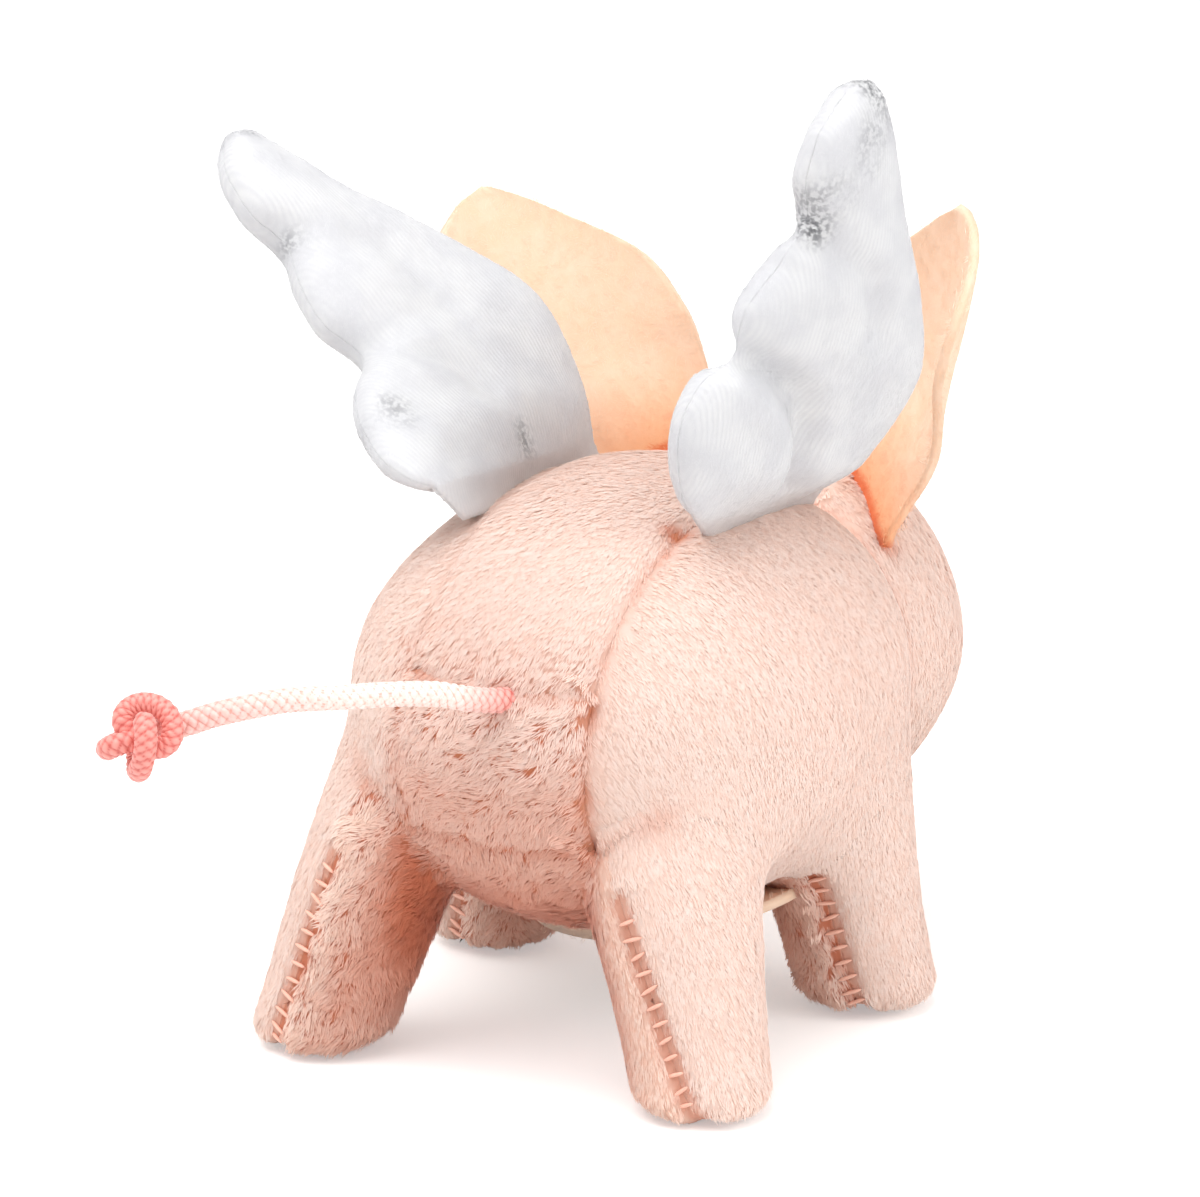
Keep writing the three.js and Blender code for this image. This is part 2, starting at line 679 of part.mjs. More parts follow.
// Snout: a band round the side and a disc over the end, with two dimples for nostrils
const bandFront = snoutFront - snoutDiscThickness - seatGap
const bandBore = snoutForm(-plushWall, snoutFront + snoutRimRound)
const band = cutBy(snoutForm(0, snoutFront), bandBore, headForm(seatGap))
addPiece(bodyGroup, 'snout_band', band.trimByPlane([0, -1, 0], -bandFront), plush)
const discWhole = snoutForm(0, snoutFront).trimByPlane([0, 1, 0], bandFront + seatGap)
const dimple = (side) => {
  const form = new THREE.SphereGeometry(1, 12, 8)
  form.scale(nostrilWidth / 2, nostrilDepth, nostrilHeight / 2)
  form.translate(side * nostrilSpacing / 2, snoutFront, snoutHeight)
  return solidOf(form)
}
addPiece(bodyGroup, 'snout_disc', cutBy(discWhole, dimple(1), dimple(-1)), plushDeep)

const snoutCore = snoutForm(-plushWall - seatGap, bandFront)
const headCore = joined([headForm(-plushWall - seatGap), snoutCore])
const eyeRooms = eyes.flatMap((eye) => [eye.shankHole, eye.washerRoom])
addPiece(bodyGroup, 'head_filling', cutBy(headCore, bodyForm(-plushWall), ...eyeRooms), filling)

for (const eye of eyes) {
  const name = eye.side > 0 ? 'right' : 'left'
  addPiece(bodyGroup, `${name}_eye`, eye.bead, bead)
  addPiece(bodyGroup, `${name}_eye_washer`, eye.washer, washerPlastic)
}

// Ears, cut to the head and body that they stand on
const headRoom = headForm(seatGap)
for (const ear of [earOf('right_ear', 1, rightEarLean), earOf('left_ear', -1, leftEarLean)]) {
  const group = addGroup(`${ear.name}_hinge`, ear.seat)
  addPiece(group, ear.name, cutBy(ear.leaf, headRoom, bodyRoom), felt)
}

// Wings, cut to the back that they stand on
for (const wing of wings) {
  const pivot = new THREE.Vector3(wing.side * wingRootX, rootMiddle, hingeHeight(rootMiddle))
  const group = addGroup(`${wing.name}_hinge`, pivot)
  const pieces = wingPieces(wing)
  addPiece(group, `${wing.name}_outer_panel`, cutBy(pieces.outer, bodyRoom), velvet)
  addPiece(group, `${wing.name}_inner_panel`, cutBy(pieces.inner, bodyRoom), velvet)
  addPiece(group, `${wing.name}_filling`, cutBy(pieces.filling, bodyRoom), filling)
}

// Tail cord from the tail seam, and its knot
const tailRise = (tailRootHeight - bodyCentre.z) / (bodyHeight / 2)
const rumpY = bodyCentre.y - bodyRear * Math.sqrt(1 - tailRise ** 2)
const tailRoot = new THREE.Vector3(tailRootX, rumpY - seatGap - tailDiameter / 2, tailRootHeight)
const tailPoints = tailRoute.map(([x, y, z]) => new THREE.Vector3(x, y, z).add(tailRoot))
const tailCurve = new THREE.CatmullRomCurve3(tailPoints)
const tailEnd = tailPoints[tailPoints.length - 1]
const tailHeading = tailCurve.getTangent(1)
const tailGroup = addGroup('tail_hinge', tailRoot)
const tailBall = new THREE.SphereGeometry(tailDiameter / 2, 8, 6)
tailBall.translate(...tailRoot)
const tailCord = tubeForm(tailCurve, tailDiameter, 16, 8).add(solidOf(tailBall))
const knotStart = tailEnd.clone().addScaledVector(tailHeading, seatGap)
const knot = tubeForm(knotCurve(knotStart, tailHeading), knotCordDiameter, 36, 6)
addPiece(tailGroup, 'tail_cord', tailCord, cord)
addPiece(tailGroup, 'tail_knot', knot, cord)

// The origin is the middle of the footprint of the toy without its tail, at the soles
const footprint = new THREE.Box3()
puppet.updateMatrixWorld(true)
for (const group of puppet.children) {
  if (group !== tailGroup) footprint.expandByObject(group, true)
}
const middle = footprint.getCenter(new THREE.Vector3())
puppet.position.set(-middle.x, -middle.y, 0)
puppet.updateMatrixWorld(true)

export default puppet
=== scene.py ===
import json
import math

import bmesh
import bpy
import numpy as np
from mathutils import Matrix, Vector, kdtree, noise


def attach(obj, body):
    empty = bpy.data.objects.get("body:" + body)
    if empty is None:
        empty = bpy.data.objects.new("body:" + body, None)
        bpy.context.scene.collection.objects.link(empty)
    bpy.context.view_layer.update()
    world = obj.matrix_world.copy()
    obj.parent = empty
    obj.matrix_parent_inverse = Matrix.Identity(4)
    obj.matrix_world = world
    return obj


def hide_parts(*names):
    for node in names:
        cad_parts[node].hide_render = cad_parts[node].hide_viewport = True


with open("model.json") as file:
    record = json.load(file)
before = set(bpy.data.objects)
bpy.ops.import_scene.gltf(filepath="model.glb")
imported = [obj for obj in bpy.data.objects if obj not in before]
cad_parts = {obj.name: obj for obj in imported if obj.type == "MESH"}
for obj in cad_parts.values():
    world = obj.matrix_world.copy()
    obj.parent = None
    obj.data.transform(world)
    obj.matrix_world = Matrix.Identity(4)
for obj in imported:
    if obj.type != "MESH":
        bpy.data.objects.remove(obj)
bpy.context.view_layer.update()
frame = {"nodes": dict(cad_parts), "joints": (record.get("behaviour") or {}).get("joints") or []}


# Camera: behind the pig and to its right, a little above it, with a long lens.
# Places in this file are in millimetres from the point on the floor between the four feet.
MM = 0.001
EAR_SEAT_Y = 36.3
joints = {joint["name"]: Vector(joint["pos_m"]) for joint in frame["joints"]}
between_ears = (joints["right_ear_fold"] + joints["left_ear_fold"]) / 2
between_feet = Vector((between_ears.x, between_ears.y - EAR_SEAT_Y * MM, 0))
TO_FRAME = Matrix.Translation(between_feet) @ Matrix.Scale(MM, 4)

CAMERA_TURN = math.radians(28)
CAMERA_RISE = math.radians(17)
CAMERA_DISTANCE = 1000
CAMERA_TARGET = Vector((-1.9, 4.5, 43.2))
CAMERA_LENS = 300
camera_data = bpy.data.cameras.new("camera")
camera_data.lens = CAMERA_LENS
camera_data.sensor_width = 36
camera_data.clip_start = 0.05
camera_data.clip_end = 20
camera = bpy.data.objects.new("camera", camera_data)
towards_camera = Vector((
    math.sin(CAMERA_TURN) * math.cos(CAMERA_RISE),
    -math.cos(CAMERA_TURN) * math.cos(CAMERA_RISE),
    math.sin(CAMERA_RISE),
))
camera.location = TO_FRAME @ (CAMERA_TARGET + towards_camera * CAMERA_DISTANCE)
camera.rotation_mode = "QUATERNION"
camera.rotation_quaternion = (-towards_camera).to_track_quat("-Z", "Y")
bpy.context.scene.collection.objects.link(camera)
bpy.context.scene.camera = camera


# Tail: a round braid of pink satin yarn, sewn into the tail seam by one end and tied in an
# overhand knot at the other. The braid is coral near both ends, with painted shade between its
# yarns, and it swings from its root.
class Wire:
    """A socket in a node tree, so that a material reads as an expression."""

    def __init__(self, tree, socket):
        self.tree = tree
        self.socket = socket

    def node(self, kind, inputs=(), output=0, **settings):
        made = self.tree.nodes.new(kind)
        for name, value in settings.items():
            setattr(made, name, value)
        for name, value in dict(inputs).items():
            if isinstance(value, Wire):
                self.tree.links.new(value.socket, made.inputs[name])
            else:
                made.inputs[name].default_value = value
        return Wire(self.tree, made.outputs[output])

    def maths(self, operation, other, turned=False):
        first, second = (other, self) if turned else (self, other)
        return self.node("ShaderNodeMath", {0: first, 1: second}, operation=operation)

    def __add__(self, other):
        return self.maths("ADD", other)

    def __radd__(self, other):
        return self.maths("ADD", other)

    def __sub__(self, other):
        return self.maths("SUBTRACT", other)

    def __rsub__(self, other):
        return self.maths("SUBTRACT", other, turned=True)

    def __mul__(self, other):
        return self.maths("MULTIPLY", other)

    def __rmul__(self, other):
        return self.maths("MULTIPLY", other)

    def read(self, name):
        """A value that the mesh carries."""
        return self.node("ShaderNodeAttribute", output="Fac", attribute_name=name)

    def noise(self, scale, detail=2.0):
        return self.node("ShaderNodeTexNoise", {"Vector": self, "Scale": scale, "Detail": detail})

    def steps(self, low, high):
        ends = {"Value": self, "From Min": low, "From Max": high}
        return self.node("ShaderNodeMapRange", ends, interpolation_type="SMOOTHSTEP")

    def between(self, first, second):
        """A colour from the first one at 0 to the second one at 1."""
        return self.node("ShaderNodeMix", {0: self, 6: first, 7: second}, output=2, data_type="RGBA")

    def bump(self, distance, strength=1.0):
        sizes = {"Height": self, "Distance": distance * MM, "Strength": strength}
        return self.node("ShaderNodeBump", sizes)


def colour(red, green, blue):
    """The linear colour of an sRGB one given from 0 to 255."""
    def linear(value):
        share = value / 255
        return share / 12.92 if share <= 0.04045 else ((share + 0.055) / 1.055) ** 2.4
    return (linear(red), linear(green), linear(blue), 1)


def finish_of(name, **constants):
    """A new material, the place of a point on the piece, and the shader's inputs."""
    material = bpy.data.materials.new(name)
    material.use_nodes = True
    tree = material.node_tree
    inputs = tree.nodes["Principled BSDF"].inputs
    for socket, value in constants.items():
        inputs[socket.replace("_", " ")].default_value = value
    place = Wire(tree, tree.nodes.new("ShaderNodeTexCoord").outputs["Object"])
    return material, place, inputs


def wire_up(inputs, **wires):
    for name, wire in wires.items():
        wire.tree.links.new(wire.socket, inputs[name.replace("_", " ")])


def let_through(material, share, tint):
    """Lets a share of the light through a cloth or its pile, tinted."""
    tree = material.node_tree
    solid = Wire(tree, tree.nodes["Principled BSDF"].outputs[0])
    glow = solid.node("ShaderNodeBsdfTranslucent", {"Color": tint})
    mixed = solid.node("ShaderNodeMixShader", {0: share, 1: solid, 2: glow})
    tree.links.new(mixed.socket, tree.nodes["Material Output"].inputs["Surface"])


def object_of(data, name):
    thing = bpy.data.objects.new(name, data)
    bpy.context.scene.collection.objects.link(thing)
    return thing


def mesh_of(form, name):
    """The mesh of a bmesh, which is then freed."""
    mesh = bpy.data.meshes.new(name)
    form.to_mesh(mesh)
    form.free()
    return mesh


def values_of(mesh, name, width=3):
    """A value that each point of a mesh carries, such as its place, as an array."""
    values = np.empty(len(mesh.vertices) * width, np.float32)
    if name == "co":
        mesh.vertices.foreach_get(name, values)
    else:
        layer = mesh.attributes[name].data
        layer.foreach_get("vector" if width == 3 else "value", values)
    return values.reshape(-1, width) if width > 1 else values


def set_values(mesh, name, values, width=1):
    kind = "FLOAT_VECTOR" if width == 3 else "FLOAT"
    layer = mesh.attributes.get(name) or mesh.attributes.new(name, kind, "POINT")
    values = np.broadcast_to(values, (len(mesh.vertices), 3) if width == 3 else len(mesh.vertices))
    layer.data.foreach_set("vector" if width == 3 else "value", values.astype(np.float32).ravel())


def normals_of(mesh):
    normals = np.empty(len(mesh.vertices) * 3, np.float32)
    mesh.vertices.foreach_get("normal", normals)
    return normals.reshape(-1, 3)


def sheet_of(columns, rows, place):
    """A sheet whose points are place(across, up), both from 0 to 1, facing the side from
    which across runs to the right and up runs upwards. The shares are kept as attributes."""
    form = bmesh.new()
    bmesh.ops.create_grid(form, x_segments=columns, y_segments=rows, size=0.5)
    mesh = mesh_of(form, "sheet")
    shares = values_of(mesh, "co") + 0.5
    across, up = shares[:, 0], shares[:, 1]
    mesh.vertices.foreach_set("co", np.asarray(place(across, up), np.float32).ravel())
    set_values(mesh, "across", across)
    set_values(mesh, "up", up)
    return mesh


def joined(*meshes, weld=0.0):
    """The meshes as one, with points that touch made one where weld is given."""
    whole = bmesh.new()
    for mesh in meshes:
        whole.from_mesh(mesh)
    if weld:
        bmesh.ops.remove_doubles(whole, verts=whole.verts, dist=weld)
    return mesh_of(whole, "joined")


OWN_SHADE = 0.05
MATTED_SHADE = 0.25


def finished(name, mesh, body, slot, finish, nodes=()):
    """Turns a mesh in millimetres into a piece that rides on a body."""
    mesh.name = name
    mesh.transform(TO_FRAME)
    mesh.materials.clear()
    mesh.materials.append(finish)
    mesh.polygons.foreach_set("material_index", np.zeros(len(mesh.polygons), np.int32))
    mesh.polygons.foreach_set("use_smooth", np.ones(len(mesh.polygons), bool))
    if "skin" in mesh.attributes:
        # A blade of pile is shaded mostly like the cloth that it lies on, as soft pile is,
        # and a matted one a little more by itself
        skin = values_of(mesh, "skin", 3)
        own = normals_of(mesh)
        on_pile = np.linalg.norm(skin, axis=1) > 0.5
        own_share = OWN_SHADE + MATTED_SHADE * values_of(mesh, "matted", 1)[:, None]
        shade = np.where(on_pile[:, None], skin * (1 - own_share) + own * own_share, own)
        shade /= np.maximum(np.linalg.norm(shade, axis=1), 1e-6)[:, None]
        mesh.normals_split_custom_set_from_vertices(shade)
    piece = object_of(mesh, name)
    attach(piece, body)
    if nodes:
        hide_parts(*nodes)
    return piece


def smooth_line(points, steps):
    """A curve through the points, with that many steps between two of them."""
    points = np.asarray(points, float)
    ends = np.vstack((2 * points[0] - points[1], points, 2 * points[-1] - points[-2]))
    line = []
    for before, start, end, after in zip(ends, ends[1:], ends[2:], ends[3:]):
        for step in range(steps):
            t = step / steps
            slope = (end - before) * t
            bend = (2 * before - 5 * start + 4 * end - after) * t ** 2
            twist = (3 * start - before - 3 * end + after) * t ** 3
            line.append((2 * start + slope + bend + twist) / 2)
    return np.vstack((line, points[-1]))


def lengths_along(line):
    return np.concatenate(([0], np.cumsum(np.linalg.norm(np.diff(line, axis=0), axis=1))))


def braid(around, along, strands, pitch):
    """The height of a round braid's surface, from 0 to 1: its yarns cross in diamonds."""
    first = strands * around + along / pitch
    second = strands * around - along / pitch
    over = (np.floor(first) + np.floor(second)) % 2 == 0
    rise, fall = np.abs(np.sin(np.pi * first)), np.abs(np.sin(np.pi * second))
    return np.where(over, rise ** 0.9 * fall ** 0.35, rise ** 0.35 * fall ** 0.9)


def cord_mesh(line, radius, sides, strands, pitch, relief):
    """A braided tube round a line, closed at its ends."""
    line = np.asarray(line)
    tangents = np.gradient(line, axis=0)
    tangents /= np.linalg.norm(tangents, axis=1)[:, None]
    first = Vector(tangents[0]).orthogonal().normalized()
    directions = [first]
    for before, after in zip(tangents, tangents[1:]):
        directions.append(Vector(before).rotation_difference(Vector(after)) @ directions[-1])
    out = np.array(directions)
    side = np.cross(tangents, out)
    lengths = lengths_along(line)

    def place(around, up):
        row = np.rint(up * (len(line) - 1)).astype(int)
        height = braid(around, lengths[row], strands, pitch)
        end = np.minimum(lengths[row], lengths[-1] - lengths[row])
        closing = np.sqrt(np.clip(1 - (1 - np.clip(end / radius, 0, 1)) ** 2, 0, 1))
        reach = (radius - relief * (1 - height)) * closing
        turn = 2 * np.pi * around
        spread = out[row] * np.cos(turn)[:, None] + side[row] * np.sin(turn)[:, None]
        return line[row] + spread * reach[:, None]

    mesh = sheet_of(sides, len(line) - 1, place)
    along = lengths[np.rint(values_of(mesh, "up", 1) * (len(line) - 1)).astype(int)]
    set_values(mesh, "relief", braid(values_of(mesh, "across", 1), along, strands, pitch))
    set_values(mesh, "along", along)
    return joined(mesh, weld=1e-4)


TAIL_DIAMETER = 2.6
TAIL_YARNS = 5
TAIL_PITCH = 1.05
TAIL_RELIEF = 0.2
TAIL_SIDES = 50
TAIL_STEPS = 24
# From the seam allowance inside the rump, through the root at 0, to the knot
TAIL_ROUTE = [
    (0.9, 4.2, -0.7), (0.6, 2.1, -0.5), (0, 0, 0), (-1.1, -3.2, 1), (-2.5, -5.8, 1.9),
    (-5, -10.6, 2.8), (-7.9, -14.6, 3.2), (-11.5, -18.6, 3.5), (-14.1, -21.1, 3.2),
    (-17, -23.1, 2.5), (-19.2, -24.4, 1.7), (-21.4, -25.5, 1.1), (-23.2, -26.3, 0.5),
]
KNOT_CORD_DIAMETER = 2.3
KNOT_SIDES = 36
KNOT_POINTS = 260
KNOT_TURN_RADIUS = 2.3
KNOT_LOOP_RADIUS = 1.15
KNOT_HEIGHT = 1.75
KNOT_TURNS = (-0.35, 4.88)
KNOT_ROLL = math.radians(150)
KNOT_GAP = 0.3

tail_root = np.array((joints["tail_swing"] - between_feet) / MM)
tail_line = smooth_line(np.array(TAIL_ROUTE) + tail_root, TAIL_STEPS)
heading = Vector(tail_line[-1] - tail_line[-2]).normalized()
turns = np.linspace(*KNOT_TURNS, KNOT_POINTS)
loop = KNOT_TURN_RADIUS + KNOT_LOOP_RADIUS * np.cos(3 * turns)
knot_rise = KNOT_HEIGHT * np.sin(3 * turns)
knot_local = np.stack((loop * np.cos(2 * turns), loop * np.sin(2 * turns), knot_rise), 1)
swing = Vector(knot_local[1] - knot_local[0]).rotation_difference(heading)
swing = Matrix.Rotation(KNOT_ROLL, 3, heading) @ swing.to_matrix()
knot_start = Vector(tail_line[-1]) + heading * KNOT_GAP
knot_line = np.array([knot_start + swing @ Vector(point - knot_local[0]) for point in knot_local])


def cord_finish():
    """Satin yarn: pale, painted darker between the yarns as shade, and coral where the piece says so.
    """
    material, place, inputs = finish_of(
        "cord", Roughness=0.42, Specular_IOR_Level=0.5, Sheen_Weight=0.5, Sheen_Roughness=0.3,
    )
    fibres = place.noise(2600.0, 3.0)
    top = fibres.steps(0.3, 0.7).between(colour(250, 220, 209), colour(253, 237, 231))
    # Painted shade: pale and coral yarn alike darken towards the gaps between the yarns
    yarn = place.read("relief").steps(0.0, 0.45).between(colour(236, 172, 154), top)
    coral = place.read("relief").steps(0.0, 0.9).between(colour(205, 78, 70), colour(246, 150, 138))
    set_to = place.read("coral").between(yarn, coral)
    wire_up(inputs, Base_Color=set_to, Normal=fibres.bump(0.06, 0.5))
    return material


CORAL_ROOT = 9.5
CORAL_END = 20
CORAL_AT_END = 0.6
CORAL_IN_KNOT = 0.9
KNOT_TIGHTNESS = 0.7
cord_look = cord_finish()
tail_mesh = cord_mesh(tail_line, TAIL_DIAMETER / 2, TAIL_SIDES, TAIL_YARNS, TAIL_PITCH, TAIL_RELIEF)
along = values_of(tail_mesh, "along", 1)
to_end = (lengths_along(tail_line)[-1] - along) / CORAL_END
coral = np.clip(1 - along / CORAL_ROOT, 0, 1) + CORAL_AT_END * np.clip(1 - to_end, 0, 1)
set_values(tail_mesh, "coral", coral)
tail = finished("tail", tail_mesh, "tail", "cord", cord_look, ["tail_cord"])
knot_mesh = cord_mesh(
    knot_line, KNOT_CORD_DIAMETER / 2, KNOT_SIDES, TAIL_YARNS - 1,
    TAIL_PITCH * KNOT_TIGHTNESS, TAIL_RELIEF * KNOT_TIGHTNESS,
)
set_values(knot_mesh, "coral", CORAL_IN_KNOT)
knot = finished("knot", knot_mesh, "tail", "cord", cord_look, ["tail_knot"])


# Plush: a knitted cloth with a short pile that is brushed one way and mats into small tufts.
# The flanks, the back and the head are cut from a pale one. What faces inwards or down is the
# same cloth, given a darker copy of its colours as painted shade, and the snout's disc takes that
# copy as its own deeper pink.
def plush_finish(name, root, tip_low, tip_high, deep):
    """Pile between two tip colours, with its own colour at the root and a deep one, mostly
    painted shade at the roots of matted pile and in folds.
    """
    material, place, inputs = finish_of(
        name, Roughness=0.85, Sheen_Weight=0.3, Sheen_Roughness=0.45, Specular_IOR_Level=0.12,
    )
    tip = place.read("tint").between(tip_low, tip_high)
    # Painted shade: matted pile takes the deep colour at its roots
    ground = place.read("matted").between(root, deep)
    pile = place.read("tip").steps(0.0, 0.6).between(ground, tip)
    wire_up(inputs, Base_Color=place.read("cavity").between(pile, deep))
    let_through(material, 0.3, colour(254, 224, 208))
    return material


plush = plush_finish(
    "plush", root=colour(252, 230, 218), tip_low=colour(252, 234, 223),
    tip_high=colour(254, 241, 233), deep=colour(226, 146, 110),
)
# A darker copy of the plush: painted shade on belly and inner legs, the snout disc's own pink
plush_deep = plush_finish(
    "plush_deep", root=colour(250, 216, 198), tip_low=colour(252, 224, 208),
    tip_high=colour(255, 238, 226), deep=colour(218, 134, 102),
)


def tufts_of(name, blades, length, width, reach, gather, rise, kinds=5):
    """A few kinds of tuft, each with pointed blades that lie along +X over the cloth."""
    made = bpy.data.collections.new(name)
    random = np.random.default_rng(7)
    for kind in range(kinds):
        tuft = bmesh.new()
        share_of = tuft.verts.layers.float.new("tip")
        for _ in range(blades):
            x, y = random.uniform(-reach, reach, 2)
            long = length * random.uniform(0.75, 1.15)
            bend = random.uniform(-0.15, 0.15) * long
            half = width / 2 * random.uniform(0.7, 1.2)
            middle = (x + 0.42 * long, y * (1 - gather / 2) + 0.4 * bend, rise * 0.7 * long)
            end = (x * (1 - gather) + 0.95 * long, y * (1 - gather) + bend, rise * long)
            corners = [
                ((x, y, -0.08), 0),
                ((middle[0], middle[1] - half, middle[2]), 0.5),
                ((middle[0], middle[1] + half, middle[2]), 0.5),
                (end, 1),
            ]
            verts = []
            for corner, share in corners:
                vert = tuft.verts.new(corner)
                vert[share_of] = share
                verts.append(vert)
            tuft.faces.new((verts[0], verts[1], verts[2]))
            tuft.faces.new((verts[1], verts[3], verts[2]))
        mesh = mesh_of(tuft, f"{name}_{kind}")
        made.objects.link(bpy.data.objects.new(mesh.name, mesh))
    return made


def pile_graph():
    """Sets tufts over a cloth, along its "brushed" directions, "loft" times their size and
    "density" of them to a square millimetre."""
    graph = bpy.data.node_groups.new("pile", "GeometryNodeTree")
    kinds = {"Geometry": "NodeSocketGeometry", "Tufts": "NodeSocketCollection", "Seed": "NodeSocketInt"}
    for name, kind in kinds.items():
        graph.interface.new_socket(name, in_out="INPUT", socket_type=kind)
    graph.interface.new_socket("Geometry", in_out="OUTPUT", socket_type="NodeSocketGeometry")
    given = graph.nodes.new("NodeGroupInput")
    cloth = Wire(graph, given.outputs["Geometry"])
    tufts = Wire(graph, given.outputs["Tufts"])
    seed = Wire(graph, given.outputs["Seed"])

    def carried(name, kind="FLOAT"):
        return cloth.node("GeometryNodeInputNamedAttribute", {"Name": name}, data_type=kind)

    def kept(points, name, value, kind="FLOAT"):
        inputs = {"Geometry": points, "Name": name, "Value": value}
        return cloth.node("GeometryNodeStoreNamedAttribute", inputs, data_type=kind, domain="POINT")

    places = {"Mesh": cloth, "Density": carried("density"), "Seed": seed}
    points = cloth.node("GeometryNodeDistributePointsOnFaces", places)
    normal = Wire(graph, points.socket.node.outputs["Normal"])
    chance = cloth.node("FunctionNodeRandomValue", {"Seed": seed}, output=1, data_type="FLOAT")
    points = kept(kept(points, "tint", chance), "skin", normal, "FLOAT_VECTOR")
    upright = cloth.node("FunctionNodeAlignRotationToVector", {"Vector": normal}, axis="Z")
    turned = cloth.node(
        "FunctionNodeAlignRotationToVector",
        {"Rotation": upright, "Vector": carried("brushed", "FLOAT_VECTOR")}, axis="X", pivot_axis="Z",
    )
    lean = cloth.node(
        "FunctionNodeRandomValue", {0: (-0.2, -0.2, -0.25), 1: (0.2, 0.1, 0.25), "Seed": seed},
        data_type="FLOAT_VECTOR",
    )
    wildness = carried("matted") * 0.75 + 0.25
    lean = cloth.node("ShaderNodeVectorMath", {0: lean, "Scale": wildness}, operation="SCALE")
    flat = cloth.node("ShaderNodeCombineXYZ", {"Y": (1.0 - carried("matted")) * 0.07})
    lean = cloth.node("ShaderNodeVectorMath", {0: lean, 1: flat}, operation="ADD")
    lean = cloth.node("FunctionNodeEulerToRotation", {"Euler": lean})
    turned = cloth.node(
        "FunctionNodeRotateRotation", {"Rotation": turned, "Rotate By": lean}, rotation_space="LOCAL",
    )
    size = cloth.node(
        "FunctionNodeRandomValue", {2: 0.8, 3: 1.2, "Seed": seed}, output=1, data_type="FLOAT",
    )
    kinds = cloth.node(
        "GeometryNodeCollectionInfo",
        {"Collection": tufts, "Separate Children": True, "Reset Children": True},
    )
    pile = cloth.node("GeometryNodeInstanceOnPoints", {
        "Points": points, "Instance": kinds, "Pick Instance": True, "Rotation": turned,
        "Scale": size * carried("loft"),
    })
    pile = cloth.node("GeometryNodeRealizeInstances", {"Geometry": pile})
    out = graph.nodes.new("NodeGroupOutput")
    graph.links.new(pile.socket, out.inputs["Geometry"])
    return graph


pile = pile_graph()


def modified(mesh, kind, **settings):
    """The mesh that a modifier makes of a mesh."""
    thing = object_of(mesh, "modified")
    modifier = thing.modifiers.new("only", kind)
    for name, value in settings.items():
        setattr(modifier, name, value)
    if kind == "NODES":
        return thing, modifier
    return taken(thing)


def taken(thing):
    depsgraph = bpy.context.evaluated_depsgraph_get()
    made = bpy.data.meshes.new_from_object(
        thing.evaluated_get(depsgraph), preserve_all_data_layers=True, depsgraph=depsgraph,
    )
    bpy.data.objects.remove(thing)
    return made


def piled(cloth, tufts, seed):
    """The pile of a cloth, which carries how its pile lies."""
    thing, modifier = modified(cloth, "NODES", node_group=pile)
    for socket in pile.interface.items_tree:
        if socket.name == "Tufts":
            modifier[socket.identifier] = tufts
        if socket.name == "Seed":
            modifier[socket.identifier] = seed
    return taken(thing)


def thick(cloth, wall, offset=-1):
    return modified(cloth, "SOLIDIFY", thickness=wall, offset=offset)


def moved_out(mesh, distances):
    """Moves each point of a mesh along its normal by a distance of its own."""
    moved = values_of(mesh, "co") + normals_of(mesh) * distances[:, None]
    mesh.vertices.foreach_set("co", moved.astype(np.float32).ravel())


def sway(places, size, seed):
    """A smooth random number, roughly from -1 to 1, that changes over the given size."""
    shift = Vector((seed * 17.3, seed * 5.1, seed * 9.7))
    return np.array([noise.noise(Vector(place) / size + shift) for place in places]) * 1.5


def brush(mesh, direction, loft, density, cavity=0.0, swirl=0.3, seed=1, matted=0.0):
    """Gives a cloth the way its pile lies, how tall and dense it is, and how deep its colour, mostly as
    painted shade.
    """
    places, normals = values_of(mesh, "co"), normals_of(mesh)
    direction = np.broadcast_to(np.asarray(direction, float), places.shape)
    along = direction - normals * (direction * normals).sum(1)[:, None]
    along /= np.maximum(np.linalg.norm(along, axis=1), 1e-6)[:, None]
    across = np.cross(normals, along)
    turn = swirl * (sway(places, 8.0, seed) + 1.3 * sway(places, 2.4, seed + 1))
    brushed = along * np.cos(turn)[:, None] + across * np.sin(turn)[:, None]
    set_values(mesh, "brushed", brushed, 3)
    set_values(mesh, "loft", loft)
    set_values(mesh, "density", density)
    set_values(mesh, "cavity", cavity)
    set_values(mesh, "matted", matted)


def rounded_step(values, low, high):
    share = np.clip((values - low) / (high - low), 0, 1)
    return share * share * (3 - 2 * share)


def near(distance, width):
    """1 at a distance of 0, and softly less over a width."""
    return np.exp(-(distance / width) ** 2)


# Torso and legs: one plump form in plush panels, sewn edge to edge. The outer half of a leg
# runs on from the flank, and its inner half from the belly, with an open seam between them.
BODY_CENTRE = np.array((0, 5.5, 33.3))
BODY_HALF = np.array((27.0, 30.0, 23.0))
RUMP_FULLNESS = 2
SHOULDER_FULLNESS = 3
HEAD_CENTRE = np.array((0, 35.5, 32.2))
HEAD_HALF = np.array((21.75, 20.0, 20.0))
HIP_HEIGHT = 24
FOOT_RADIUS = 7.4
HIP_RADIUS = 9.6
HIP_SINK = 1
THIGH_FULLNESS = 1.6
TOE_ROUND = 3.6
THIGH_START = 15
THIGH_REACH = 21
SEAM_SHIFT_TOP = 17
THIGH_NEEDLE = 8
LEGS = {
    "rear_right": {
        "side": 1, "foot": (22, -18.5), "hip": (15, -13), "seam_turn": -10, "seam_shift": 2.8,
    },
    "rear_left": {
        "side": -1, "foot": (-22, -18.5), "hip": (-15, -13), "seam_turn": -14, "seam_shift": 0,
    },
    "front_right": {
        "side": 1, "foot": (22, 18.5), "hip": (16.7, 15.9), "seam_turn": 15, "seam_shift": 0,
    },
    "front_left": {
        "side": -1, "foot": (-22, 18.5), "hip": (-16.7, 15.9), "seam_turn": -10, "seam_shift": 0,
    },
}
LEG_BLEND = 1.5
